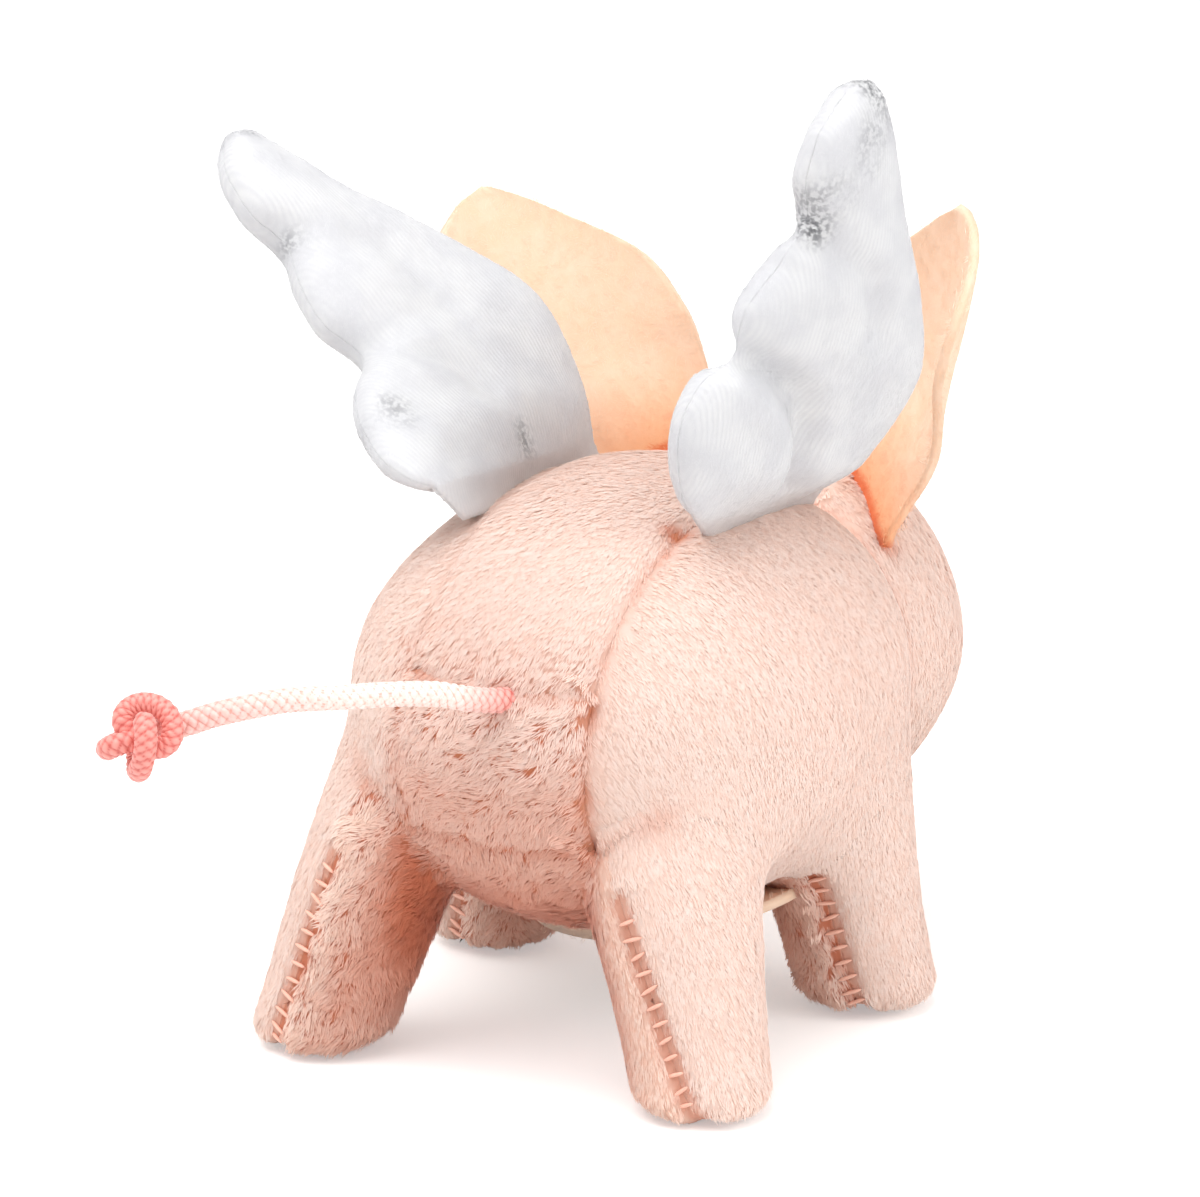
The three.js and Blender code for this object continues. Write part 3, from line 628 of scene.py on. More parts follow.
FLANK_BLEND = 6.0
BLEND_START = 12
BLEND_END = 24
BACKING_DEPTH = 0.5
BACKING_WALL = 0.7
PILE_DENSITY = 3.6
SKIN_STEP = 0.7
plush_tufts = tufts_of(
    "plush_tufts", blades=9, length=1.5, width=0.15, reach=0.5, gather=0.3, rise=0.17,
)


def egg_field(places, centre, half, rear_fullness=2, front_fullness=2):
    """Roughly how far outside an egg each place is."""
    share = (places - centre) / half
    fullness = np.where(share[:, 1] < 0, rear_fullness, front_fullness)
    along = np.abs(share[:, 1])
    level = along ** fullness + share[:, 0] ** 2 + share[:, 2] ** 2 - 1
    slope = np.stack((2 * share[:, 0], fullness * along ** (fullness - 1), 2 * share[:, 2]), 1) / half
    return level / np.maximum(np.linalg.norm(slope, axis=1), 0.03)


def body_field(places):
    return egg_field(places, BODY_CENTRE, BODY_HALF, RUMP_FULLNESS, SHOULDER_FULLNESS)


def head_field(places):
    return egg_field(places, HEAD_CENTRE, HEAD_HALF)


def leg_field(places, leg):
    """How far outside a leg each place is: a leaning column with a rounded foot, whose thigh
    thins out inside the torso."""
    share = np.clip(places[:, 2] / HIP_HEIGHT, -0.1, 1.4)
    foot, hip = np.array(leg["foot"]), np.array(leg["hip"])
    centre = foot + (hip - foot) * share[:, None]
    radius = FOOT_RADIUS + (HIP_RADIUS - FOOT_RADIUS) * np.clip(share, 0, 1) ** THIGH_FULLNESS
    thin = np.clip((places[:, 2] - THIGH_START) / THIGH_REACH, 0, 2)
    radius = radius * np.sqrt(np.maximum(1 - thin ** 2, 0)) - THIGH_NEEDLE * np.maximum(thin - 1, 0)
    side = np.linalg.norm(places[:, :2] - centre, axis=1) - radius + TOE_ROUND
    end = TOE_ROUND - places[:, 2]
    within = np.minimum(np.maximum(side, end), 0)
    return within + np.hypot(np.maximum(side, 0), np.maximum(end, 0)) - TOE_ROUND


def soft_union(first, second, blend):
    """The field of two forms that run into each other over a width."""
    share = np.clip(0.5 + 0.5 * (second - first) / blend, 0, 1)
    return second + (first - second) * share - blend * share * (1 - share)


def stuffed_field(places):
    """The torso and legs as one form, blended most where a leg runs on from the flank."""
    whole = body_field(places)
    for leg in LEGS.values():
        outer = rounded_step(places[:, 0] * leg["side"], BLEND_START, BLEND_END)
        whole = soft_union(whole, leg_field(places, leg), LEG_BLEND + FLANK_BLEND * outer)
    return whole


def drawn_onto(places, field, rounds=6, most=0.8):
    """The places moved onto the surface where a field is 0."""
    step = 0.01
    places = np.array(places, float)
    for _ in range(rounds):
        value = field(places)
        slope = np.stack([(field(places + step * axis) - value) / step for axis in np.eye(3)], 1)
        move = -slope * (value / np.maximum((slope ** 2).sum(1), 0.05))[:, None]
        size = np.maximum(np.linalg.norm(move, axis=1), 1e-9)
        places += move * np.minimum(1, most / size)[:, None]
    return places


def skin_of(rough, field):
    """An even mesh over a rough union of shapes, drawn to just inside the pile's surface."""
    even = modified(mesh_of(rough, "rough"), "REMESH", mode="VOXEL", voxel_size=SKIN_STEP)
    skin = bmesh.new()
    skin.from_mesh(even)
    for _ in range(4):
        for _ in range(2):
            bmesh.ops.smooth_vert(
                skin, verts=skin.verts, factor=0.5, use_axis_x=True, use_axis_y=True, use_axis_z=True,
            )
        places = [vert.co for vert in skin.verts]
        places = drawn_onto(places, lambda at: field(at) + BACKING_DEPTH, rounds=3)
        for vert, place in zip(skin.verts, places):
            vert.co = place
    return skin


def add_egg(form, centre, half):
    ball = bmesh.ops.create_uvsphere(form, u_segments=40, v_segments=24, radius=1)["verts"]
    bmesh.ops.scale(form, verts=ball, vec=half)
    bmesh.ops.translate(form, verts=ball, vec=centre)


rough = bmesh.new()
add_egg(rough, BODY_CENTRE, BODY_HALF)
for leg in LEGS.values():
    foot, hip = Vector((*leg["foot"], 0)), Vector((*leg["hip"], HIP_HEIGHT))
    stem = bmesh.ops.create_cone(
        rough, cap_ends=True, segments=32, radius1=FOOT_RADIUS, radius2=HIP_RADIUS, depth=HIP_HEIGHT,
    )["verts"]
    lean = Matrix.Shear("XY", 4, ((hip - foot).x / HIP_HEIGHT, (hip - foot).y / HIP_HEIGHT))
    raised = Matrix.Translation((0, 0, HIP_HEIGHT / 2))
    bmesh.ops.transform(rough, verts=stem, matrix=Matrix.Translation(foot) @ lean @ raised)
    add_egg(rough, hip - Vector((0, 0, HIP_SINK)), (HIP_RADIUS, HIP_RADIUS, HIP_RADIUS))
torso = skin_of(rough, stuffed_field)

GUSSET_HALF = 10.2
TAIL_SEAM = 41.6
RUMP_SEAM = 25.4
BELLY_SEAM = 16.0
REAR_SEAMS_END = 6
SEAM_OVERRUN = 2
LEG_REACH = 18
LEG_LEAD = 0.6
LEG_CUT_TOP = 30


def seam_plane(leg):
    """A leg's seam: a point on its plane, and the direction towards the outer half."""
    foot, hip = Vector((*leg["foot"], 0)), Vector((*leg["hip"], HIP_HEIGHT))
    axis = (hip - foot).normalized()
    outward = Matrix.Rotation(math.radians(leg["seam_turn"]), 3, "Z") @ Vector((leg["side"], 0, 0))
    outward = (outward - axis * outward.dot(axis)).normalized()
    point = foot + outward * leg["seam_shift"]
    return point, (outward + axis * leg["seam_shift"] / SEAM_SHIFT_TOP).normalized()


def cut(skin, point, normal, chosen=lambda middle: True):
    """Cuts edges into the skin along a plane, through the faces whose middles are chosen."""
    faces = [face for face in skin.faces if chosen(face.calc_center_median())]
    edges = {edge for face in faces for edge in face.edges}
    verts = {vert for face in faces for vert in face.verts}
    touched = [*verts, *edges, *faces]
    bmesh.ops.bisect_plane(skin, geom=touched, dist=1e-4, plane_co=point, plane_no=normal)


def on_rump(middle):
    return abs(middle.x) < GUSSET_HALF and middle.y < REAR_SEAMS_END


for side in (1, -1):
    low_end = BELLY_SEAM - SEAM_OVERRUN
    cut(torso, (side * GUSSET_HALF, 0, 0), (1, 0, 0), lambda middle: middle.z > low_end)
for height in (TAIL_SEAM, RUMP_SEAM):
    cut(torso, (0, 0, height), (0, 0, 1), on_rump)
cut(torso, (0, 0, BELLY_SEAM), (0, 0, 1))
for leg in LEGS.values():
    foot, outward = seam_plane(leg)

    def on_leg(middle):
        return (middle - foot).to_2d().length < LEG_REACH and middle.z < LEG_CUT_TOP

    cut(torso, foot, outward, on_leg)


def torso_panels(places):
    """The panel that each place on the skin belongs to."""
    legs = np.stack([leg_field(places, leg) for leg in LEGS.values()], 1)
    names = []
    for place, away, leg_away, which in zip(places, body_field(places), legs.min(1), legs.argmin(1)):
        x, y, z = place
        if leg_away < away - LEG_LEAD:
            name = list(LEGS)[which]
            foot, outward = seam_plane(LEGS[name])
            half = "outer" if (Vector(place) - foot).dot(outward) > 0 else "inner"
            names.append(f"{name}_leg_{half}")
        elif z < BELLY_SEAM or (z < RUMP_SEAM and abs(x) < GUSSET_HALF and y < BODY_CENTRE[1]):
            names.append("belly_panel")
        elif abs(x) > GUSSET_HALF:
            names.append("right_side_panel" if x > 0 else "left_side_panel")
        elif z < TAIL_SEAM and y < BODY_CENTRE[1]:
            names.append("rump_panel")
        else:
            names.append("back_gusset")
    return np.array(names)


def middles(form):
    return np.array([face.calc_center_median() for face in form.faces])


def drop_faces(form, dropped):
    faces = [face for face, gone in zip(list(form.faces), dropped) if gone]
    bmesh.ops.delete(form, geom=faces, context="FACES")


def without(skin, field, depth):
    """Deletes the faces that lie deeper than a depth inside a field."""
    drop_faces(skin, field(middles(skin)) < -depth)


def seam_points(form, names, counts):
    """Places along the edges between two panels whose pair of names counts as a seam, with
    the two names."""
    found, pairs = [], []
    form.faces.index_update()
    for edge in form.edges:
        if len(edge.link_faces) == 2:
            pair = [str(names[face.index]) for face in edge.link_faces]
            if pair[0] != pair[1] and counts(*pair):
                found.append(sum((vert.co for vert in edge.verts), Vector()) / 2)
                pairs.append(frozenset(pair))
    return found, pairs


def nearest(places, points):
    """How far each place is from the nearest of the points, and that point's number."""
    tree = kdtree.KDTree(len(points))
    for number, point in enumerate(points):
        tree.insert(point, number)
    tree.balance()
    hits = [tree.find(place) for place in places]
    return np.array([hit[2] for hit in hits]), np.array([hit[1] for hit in hits])


def open_seam(first, second):
    """Whether two panels are the halves of one leg."""
    return first[:-5] == second[:-5] and "_leg_" in first and "_leg_" in second


def closed_seam(first, second):
    """Whether two panels are sewn edge to edge, and aren't one cloth that runs on."""
    kinds = {first.split("_")[-1], second.split("_")[-1]}
    same_cloth = "outer" in kinds and "side_panel" in first + second
    same_cloth = same_cloth or ("inner" in kinds and "belly_panel" in (first, second))
    return not same_cloth and not open_seam(first, second)


def panels_of(mesh, names):
    """The parts of a mesh that the names of its faces tell apart."""
    for name in sorted(set(names)):
        part = bmesh.new()
        part.from_mesh(mesh)
        drop_faces(part, names != name)
        yield name, mesh_of(part, name)


def plush_panel(node, cloth, seed, deep=False):
    """A panel's backing with its pile, in the place of the panel's solid."""
    hairs = piled(cloth.copy(), plush_tufts, seed)
    mesh = joined(thick(cloth, BACKING_WALL), hairs)
    slot, finish = ("plush_deep", plush_deep) if deep else ("plush", plush)
    finished(f"{node}_cloth", mesh, "root", slot, finish, [node])


OPEN_SEAM_TOP = 22
NECK_ALLOWANCE = 2.0
SLEEVE_Y = 7
SLEEVE_ROOM = 9.9


def sleeve_hole(places):
    """How far outside the opening in the belly each place is."""
    away = np.hypot(places[:, 0], places[:, 1] - SLEEVE_Y) - SLEEVE_ROOM
    return np.maximum(away, places[:, 2] - BELLY_SEAM)


without(torso, head_field, NECK_ALLOWANCE)
without(torso, sleeve_hole, 0)
names = torso_panels(middles(torso))
closed, pairs = seam_points(torso, names, closed_seam)
opened, _ = seam_points(torso, names, open_seam)
opened = [point for point in opened if point.z < OPEN_SEAM_TOP]
skin = mesh_of(torso, "torso")

# The pile hides most seams. The right back seam shows, pulled in more at some stitches.
SEAM_CLARITY = {
    frozenset(("back_gusset", "right_side_panel")): 1.0,
    frozenset(("rump_panel", "right_side_panel")): 1.0,
    frozenset(("back_gusset", "rump_panel")): 0.5,
    frozenset(("belly_panel", "rump_panel")): 0.3,
}
HIDDEN_CLARITY = 0.1
SEAM_DEPTH = 0.75
GROOVE_WIDTH = 1.9
PULL_SPACING = 2.6
VALLEY_DEPTH = 0.6
VALLEY_WIDTH = 3.6
OPEN_SEAM_DEPTH = 0.6
OPEN_SEAM_HALF = 1.05
places, normals = values_of(skin, "co"), normals_of(skin)
to_closed, which = nearest(places, closed)
to_open, _ = nearest(places, opened)
clarity = np.array([SEAM_CLARITY.get(pair, HIDDEN_CLARITY) for pair in pairs])[which]
pulled = 0.6 + 0.4 * np.clip(sway(np.array(closed), PULL_SPACING, 6) * 1.5, -1, 1)[which]
depth = SEAM_DEPTH * (0.2 + 0.8 * clarity * pulled)
sunk = depth * (1 - rounded_step(to_closed, 0, GROOVE_WIDTH))
sunk += VALLEY_DEPTH * clarity * near(to_closed, VALLEY_WIDTH)
sunk += OPEN_SEAM_DEPTH * (1 - rounded_step(to_open, OPEN_SEAM_HALF * 0.6, OPEN_SEAM_HALF * 1.8))
wrinkles = 0.22 * sway(places, 12.0, 3) + 0.08 * sway(places, 4.0, 4)
moved_out(skin, wrinkles - sunk)

# The pile lies outwards and down on the flanks, and to the left and down on the back and rump.
# Each pair is how far it lies sideways and ahead, for 1 down.
FLANK_LIE = (0.9, 0.3)
BACK_LIE = (-0.5, -0.55)
# On the flanks it lies sideways only about this close to the back
SIDEWAYS_REACH = 7
# Left of the middle, the back's pile turns into the flank's between these distances
LEFT_FLANK = (10, 15)
x, y, z = places.T
right_flank = rounded_step(x, GUSSET_HALF - 1, GUSSET_HALF + 1)
on_flank = np.where(x > 0, right_flank, rounded_step(-x, *LEFT_FLANK))
near_seam = np.exp(-np.maximum(np.abs(x) - GUSSET_HALF, 0) / SIDEWAYS_REACH) * on_flank
lying = np.stack((
    on_flank * np.sign(x) * FLANK_LIE[0] * near_seam + BACK_LIE[0] * (1 - on_flank),
    FLANK_LIE[1] * on_flank + BACK_LIE[1] * (1 - on_flank),
    np.full(len(x), -1.0),
), 1)
# It mats on the rump, low on the back and inside the legs, but not inside the rear right one
MATTING_ENDS = (37, 48)
LEG_MATTING = 0.9
of_panel = torso_panels(places)
inner = np.char.endswith(of_panel, "inner") & (of_panel != "rear_right_leg_inner")
matted = (1 - on_flank) * (1 - rounded_step(z, *MATTING_ENDS))
matted = np.maximum(matted, LEG_MATTING * inner)

# Painted shade deepens its colour in the seams, between leg and belly, and on what faces
# inwards or down
SEAM_SHADE_WIDTH = 0.55
OPEN_SEAM_SHADE = 0.6
CREVICE_SHADE = 0.6
CREVICE_DEPTH = 0.9
CREVICE_ENDS = (14, 20)
# Painted shade darkens the seam where the right wing's foot ends on it, as if it gaped there
WING_SEAM_END = (9.4, -1.0, 53.9)
WING_SEAM_SHADE_WIDTH = 1.1
INWARD_SHADE = 0.58
BELLY_SHARE = 0.7
RUMP_SHADE = 0.34
LOW_BACK_SHADE = 0.1
LOW_BACK_ENDS = (40, 52)
leg_away = np.minimum.reduce([leg_field(places, leg) for leg in LEGS.values()])
fillet = np.minimum(body_field(places), leg_away) - stuffed_field(places)
crevice = np.clip(fillet / CREVICE_DEPTH, 0, 1) * (1 - rounded_step(np.abs(x), *CREVICE_ENDS))
shown = 0.1 + clarity * (0.1 + 0.7 * pulled ** 2)
cavity = shown * near(to_closed, SEAM_SHADE_WIDTH) + CREVICE_SHADE * crevice
in_opening = 1 - rounded_step(to_open, OPEN_SEAM_HALF * 0.7, OPEN_SEAM_HALF * 1.3)
cavity += OPEN_SEAM_SHADE * in_opening
cavity += near(np.linalg.norm(places - WING_SEAM_END, axis=1), WING_SEAM_SHADE_WIDTH)
# Painted shade on the legs' inner halves where they face inwards, and under the belly
inwards = np.zeros(len(x))
for name, leg in LEGS.items():
    _, outward = seam_plane(leg)
    of_leg = of_panel == f"{name}_leg_inner"
    inwards += of_leg * rounded_step(-(normals @ np.array(outward)), 0.1, 0.85)
on_belly = BELLY_SHARE * (of_panel == "belly_panel")
inwards = np.maximum(inwards, on_belly * rounded_step(-normals[:, 2], 0.45, 0.95))
cavity += INWARD_SHADE * inwards * (1 - 0.4 * rounded_step(-z, -9, -1))
# Painted shade on the rump where it faces down, and low on the back
rump_shade = (1 - on_flank) * rounded_step(-normals[:, 2], -0.35, 0.25) * (y < 0)
low_back = (1 - rounded_step(np.abs(x), GUSSET_HALF, GUSSET_HALF + 3)) * (y < 0)
low_back = low_back * (1 - rounded_step(z, *LOW_BACK_ENDS))
cavity += RUMP_SHADE * rump_shade + LOW_BACK_SHADE * low_back

# It is shorter along the seams and under the feet, and parted where a stitch pulls hardest
SOLE_LOFT = 0.35
SOLE_PILE_END = 2.2
PARTING_HALF = 0.3
PARTING_PULL = 0.75


def kept_by_seam(to_seam):
    """The share of its height that the pile keeps that far from a seam."""
    return 0.8 + 0.2 * rounded_step(to_seam, 0, 1.2)


loft = (0.75 + 0.25 * matted) * kept_by_seam(to_closed)
loft = loft * np.clip((z + 0.1) / SOLE_PILE_END, SOLE_LOFT, 1)
parted = (clarity == 1) & (to_closed < PARTING_HALF) & (pulled > PARTING_PULL)
density = np.where((to_open < OPEN_SEAM_HALF) | parted, 0, PILE_DENSITY)
swirl = 0.08 + 0.65 * matted
brush(skin, lying, loft, density, np.clip(cavity, 0, 1), swirl, seed=5, matted=matted)
for number, (name, panel) in enumerate(panels_of(skin, names)):
    # The belly and the legs' inner halves take the darker copy of the plush as painted shade
    plush_panel(name, panel, number, deep=name == "belly_panel" or name.endswith("inner"))


# Leg seams: a ladder of overcast stitches in a peach thread, down the open seam of each leg,
# front and rear. Each stitch is a short bar across the seam that dips into the cloth at its ends.
STITCH_STEP = 1.65
STITCH_LENGTH = 2.3
STITCH_RADIUS = 0.21
STITCH_START = 1.6
STITCH_TOP = 21
STITCH_LIFT = 0.3
STITCH_DRIFT = 1
BODY_CLEARANCE = 0.3
thread, place, inputs = finish_of("thread", Roughness=0.5, Sheen_Weight=0.3, Sheen_Roughness=0.4)
thread_colour = place.noise(1500.0).between(colour(238, 172, 148), colour(253, 206, 186))
wire_up(inputs, Base_Color=thread_colour)
stitches = bmesh.new()
unevenness = np.random.default_rng(3)
for name, leg in LEGS.items():
    _, outward = seam_plane(leg)
    foot = Vector((*leg["foot"], 0))
    axis = (Vector((*leg["hip"], HIP_HEIGHT)) - foot) / HIP_HEIGHT
    heights = np.arange(STITCH_START, STITCH_TOP, STITCH_STEP)
    for way in (-1, 1):
        reach = Vector((-outward.y, outward.x, 0)).normalized() * way * FOOT_RADIUS
        shifts = leg["seam_shift"] * (1 - heights / SEAM_SHIFT_TOP)
        starts = [
            foot + axis * height + reach + outward * shift for height, shift in zip(heights, shifts)
        ]
        spots = drawn_onto(starts, lambda at: stuffed_field(at) + BACKING_DEPTH + STITCH_LIFT)
        for spot, start in zip(spots, starts):
            drift = abs((Vector(spot) - start).z)
            if drift > STITCH_DRIFT or body_field(spot[None])[0] < BODY_CLEARANCE:
                continue
            grain = bmesh.ops.create_icosphere(stitches, subdivisions=2, radius=1)["verts"]
            out = (Vector(spot) - foot - axis * spot[2]).normalized()
            across = (outward + unevenness.uniform(-0.1, 0.3) * axis).normalized()
            turn = Matrix((across, out.cross(across).normalized(), out)).transposed().to_4x4()
            half = STITCH_LENGTH / 2 * unevenness.uniform(0.8, 1.1)
            sizes = Matrix.Diagonal((half, STITCH_RADIUS, STITCH_RADIUS, 1))
            bmesh.ops.transform(stitches, verts=grain, matrix=Matrix.Translation(spot) @ turn @ sizes)
finished("leg_stitches", mesh_of(stitches, "leg_stitches"), "root", "plush_deep", thread)


# Head: a ball of plush, sewn from two cheeks and a gusset over the forehead, and joined to the
# body round its neck. The snout is a band of the same plush with a deeper pink disc sewn into
# its front, where two dents make the nostrils.
HEAD_GUSSET_HALF = 8.5
SNOUT_RADIUS = 7.6
SNOUT_OVAL = 1.15
SNOUT_REACH = 8
SNOUT_HEIGHT = 29.5
SNOUT_RIM = 1.6
SNOUT_ALLOWANCE = 1.5
HEAD_FRONT = HEAD_CENTRE[1] + HEAD_HALF[1]
SNOUT_FRONT = HEAD_FRONT + SNOUT_REACH
HEAD_SEAM_DEPTH = 0.5
HEAD_SEAM_SHADE = 0.3
HEAD_SHADE_WIDTH = 0.6
NECK_SHADE = 0.4
EAR_SEAM_SHADE = 0.7
FOLD_SHADE_WIDTH = 0.9
# Along which an ear is sewn on, from its outer end to its inner one
EAR_SEAM = ((17.0, 32.0), (6.2, 39.6))
rough = bmesh.new()
add_egg(rough, HEAD_CENTRE, HEAD_HALF)
head = skin_of(rough, head_field)
for side in (1, -1):
    low_end = HEAD_CENTRE[2] - SEAM_OVERRUN
    cut(head, (side * HEAD_GUSSET_HALF, 0, 0), (1, 0, 0), lambda middle: middle.z > low_end)
cut(head, (0, 0, HEAD_CENTRE[2]), (0, 0, 1))
cut(head, (0, 0, 0), (1, 0, 0), lambda middle: middle.z < HEAD_CENTRE[2])
without(head, body_field, NECK_ALLOWANCE)


def snout_hole(places):
    """How far outside the snout's tube each place on the head's front is."""
    away = np.hypot(places[:, 0] / SNOUT_OVAL, places[:, 2] - SNOUT_HEIGHT) - SNOUT_RADIUS
    return np.where(places[:, 1] > HEAD_CENTRE[1], away, SNOUT_RADIUS)


without(head, snout_hole, SNOUT_ALLOWANCE)
faces = middles(head)
names = np.where(faces[:, 0] > 0, "right_head_panel", "left_head_panel")
on_top = (np.abs(faces[:, 0]) < HEAD_GUSSET_HALF) & (faces[:, 2] > HEAD_CENTRE[2])
names = np.where(on_top, "forehead_gusset", names)
closed, _ = seam_points(head, names, lambda first, second: True)
skin = mesh_of(head, "head")
places = values_of(skin, "co")
to_closed, _ = nearest(places, closed)
sunk = HEAD_SEAM_DEPTH * (1 - rounded_step(to_closed, 0, GROOVE_WIDTH))
moved_out(skin, 0.2 * sway(places, 10.0, 8) - sunk)
neck = near(np.maximum(body_field(places), 0), FOLD_SHADE_WIDTH)
across_ear = np.linspace(*EAR_SEAM, 24)
from_middle = across_ear / HEAD_HALF[:2] - (0, HEAD_CENTRE[1] / HEAD_HALF[1])
rise = HEAD_HALF[2] * np.sqrt(1 - (from_middle ** 2).sum(1))
to_ear, _ = nearest(places, [
    (side * x, y, HEAD_CENTRE[2] + up) for (x, y), up in zip(across_ear, rise) for side in (1, -1)
])
cavity = HEAD_SEAM_SHADE * near(to_closed, HEAD_SHADE_WIDTH) + NECK_SHADE * neck
cavity = np.clip(cavity + EAR_SEAM_SHADE * near(to_ear, FOLD_SHADE_WIDTH), 0, 1)
loft = 0.75 * kept_by_seam(to_closed)
brush(skin, (0, 0.1, -1), loft, PILE_DENSITY, cavity, swirl=0.1, seed=11)
for number, (name, panel) in enumerate(panels_of(skin, names)):
    plush_panel(name, panel, 30 + number)


BAND_START = HEAD_FRONT - 5
BAND_FRONT = SNOUT_FRONT - 0.3
BAND_RADIUS = SNOUT_RADIUS - 0.4
BAND_SIDE = 0.6
BAND_END = 0.75


def band_place(around, up):
    """Round the snout and forwards along its side, then partly over its rounded rim."""
    turn = 2 * np.pi * around
    up = BAND_END * up
    bend = np.clip((up - BAND_SIDE) / (1 - BAND_SIDE), 0, 1) * np.pi / 2
    side = BAND_START + (BAND_FRONT - SNOUT_RIM - BAND_START) * up / BAND_SIDE
    y = np.where(up < BAND_SIDE, side, BAND_FRONT - SNOUT_RIM * (1 - np.sin(bend)))
    reach = BAND_RADIUS - SNOUT_RIM * (1 - np.cos(bend))
    return np.stack((reach * SNOUT_OVAL * np.cos(turn), y, SNOUT_HEIGHT + reach * np.sin(turn)), 1)


band = joined(sheet_of(96, 24, band_place), weld=1e-4)
band.flip_normals()
brush(band, (0, -1, 0), 0.55, PILE_DENSITY * 1.2, 0.0, 0.2, seed=14)
plush_panel("snout_band", band, 40)

NOSTRIL_SPACING = 6.4
NOSTRIL_HALF = (1.3, 1.6)
NOSTRIL_DEPTH = 0.8
DISC_RADIUS = SNOUT_RADIUS - 1.0
DISC_FRONT = SNOUT_FRONT - 0.35
DISC_EDGE = 0.9


def nostril_shares(x, z):
    """How far each place on the disc is from each nostril's middle, where its rim is 1."""
    return [
        np.hypot((x - side * NOSTRIL_SPACING / 2) / NOSTRIL_HALF[0], z / NOSTRIL_HALF[1])
        for side in (1, -1)
    ]


def disc_place(around, up):
    """Round the disc and outwards from its middle, with its edge turned in."""
    turn = 2 * np.pi * around
    reach = DISC_RADIUS * up
    x, z = reach * SNOUT_OVAL * np.cos(turn), reach * np.sin(turn)
    y = DISC_FRONT - DISC_EDGE * up ** 6
    for share in nostril_shares(x, z):
        y = y - NOSTRIL_DEPTH * np.exp(-share ** 4)
    return np.stack((x, y, z + SNOUT_HEIGHT), 1)


disc = joined(sheet_of(96, 30, disc_place), weld=1e-4)
places = values_of(disc, "co")
share = np.minimum.reduce(nostril_shares(places[:, 0], places[:, 2] - SNOUT_HEIGHT))
in_nostril = np.exp(-share ** 4)
if normals_of(disc)[:, 1].mean() < 0:
    disc.flip_normals()
# The disc's own pink is a little deeper all over, and painted shade darkens the nostril dents
brush(disc, (0.1, 0, -1), 0.4, PILE_DENSITY * 1.6, 0.15 + 0.85 * in_nostril, 0.3, seed=15)
plush_panel("snout_disc", disc, 41, deep=True)


# Eyes: polished black beads of plastic. Each one's shank goes through the cheek, and a plain
# washer holds it inside the head.
EYE_RADIUS = 2.3
EYE_DOME = 1.9
EYE_SINK = 0.8
EYE_SHANK_RADIUS = 0.8
EYE_SHANK_LENGTH = 5
EYE_TURN = math.radians(33)
EYE_LIFT = math.radians(19)
bead, place, inputs = finish_of("bead", Coat_Weight=1.0, Coat_Roughness=0.03)
haze = place.noise(500.0, 3.0)
wire_up(
    inputs, Base_Color=haze.between(colour(14, 11, 11), colour(30, 24, 23)),
    Roughness=haze * 0.08 + 0.03,
)
washer_plastic, place, inputs = finish_of("washer", Roughness=0.45)
mottle = place.noise(800.0, 3.0)
wire_up(
    inputs, Base_Color=mottle.between(colour(212, 206, 196), colour(232, 228, 220)),
    Normal=mottle.bump(0.05, 0.4),
)
for name, side in (("right", 1), ("left", -1)):
    level = math.cos(EYE_LIFT)
    look = (side * math.sin(EYE_TURN) * level, math.cos(EYE_TURN) * level, math.sin(EYE_LIFT))
    seat = HEAD_CENTRE + HEAD_HALF * look
    outward = Vector(np.array(look) / HEAD_HALF).normalized()
    eye = bmesh.new()
    dome = bmesh.ops.create_uvsphere(eye, u_segments=40, v_segments=24, radius=1)["verts"]
    bmesh.ops.scale(eye, verts=dome, vec=(EYE_RADIUS, EYE_RADIUS, EYE_DOME))
    shank = bmesh.ops.create_cone(
        eye, cap_ends=True, segments=24, radius1=EYE_SHANK_RADIUS, radius2=EYE_SHANK_RADIUS,
        depth=EYE_SHANK_LENGTH,
    )["verts"]
    bmesh.ops.translate(eye, verts=shank, vec=(0, 0, -EYE_SHANK_LENGTH / 2))
    turn = outward.to_track_quat("Z", "Y").to_matrix().to_4x4()
    seated = Matrix.Translation(Vector(seat) - outward * EYE_SINK)
    bmesh.ops.transform(eye, verts=eye.verts, matrix=seated @ turn)
    finished(f"{name}_bead", mesh_of(eye, name), "root", "bead", bead, [f"{name}_eye"])
    washer = frame["nodes"][f"{name}_eye_washer"]
    washer.data.materials.clear()
    washer.data.materials.append(washer_plastic)


# Ears: one leaf each of orange-peach pressed felt, cut to one outline and cupped forwards. Each
# is sewn into the head by its foot, and folds there.
EAR_LENGTH = 31.5
EAR_WIDTH = 24
EAR_FOOT_WIDTH = 15
EAR_FOOT_DEPTH = 5
EAR_TIP_WIDTH = 1.2
EAR_CUP = 4.2
EAR_TURN = math.radians(45)
FELT_WALL = 1.0
EARS = {
    "right_ear": {"side": 1, "lean": math.radians(17), "bow": 2.5, "curl": 3.6, "shift": 0},
    "left_ear": {"side": -1, "lean": math.radians(35), "bow": 0.3, "curl": 2.4, "shift": -0.9},
}
# Height over the foot's seam, and half the width there
EAR_OUTLINE = [
    (0, EAR_FOOT_WIDTH / 2), (EAR_LENGTH * 0.27, EAR_WIDTH * 0.44),
    (EAR_LENGTH * 0.5, EAR_WIDTH * 0.5), (EAR_LENGTH * 0.72, EAR_WIDTH * 0.46),
    (EAR_LENGTH * 0.92, EAR_WIDTH * 0.2), (EAR_LENGTH, EAR_TIP_WIDTH / 2),
]
EAR_WAVE = 0.35
EAR_WAVE_LENGTH = 4.2
EAR_CURL_HEIGHT = 13


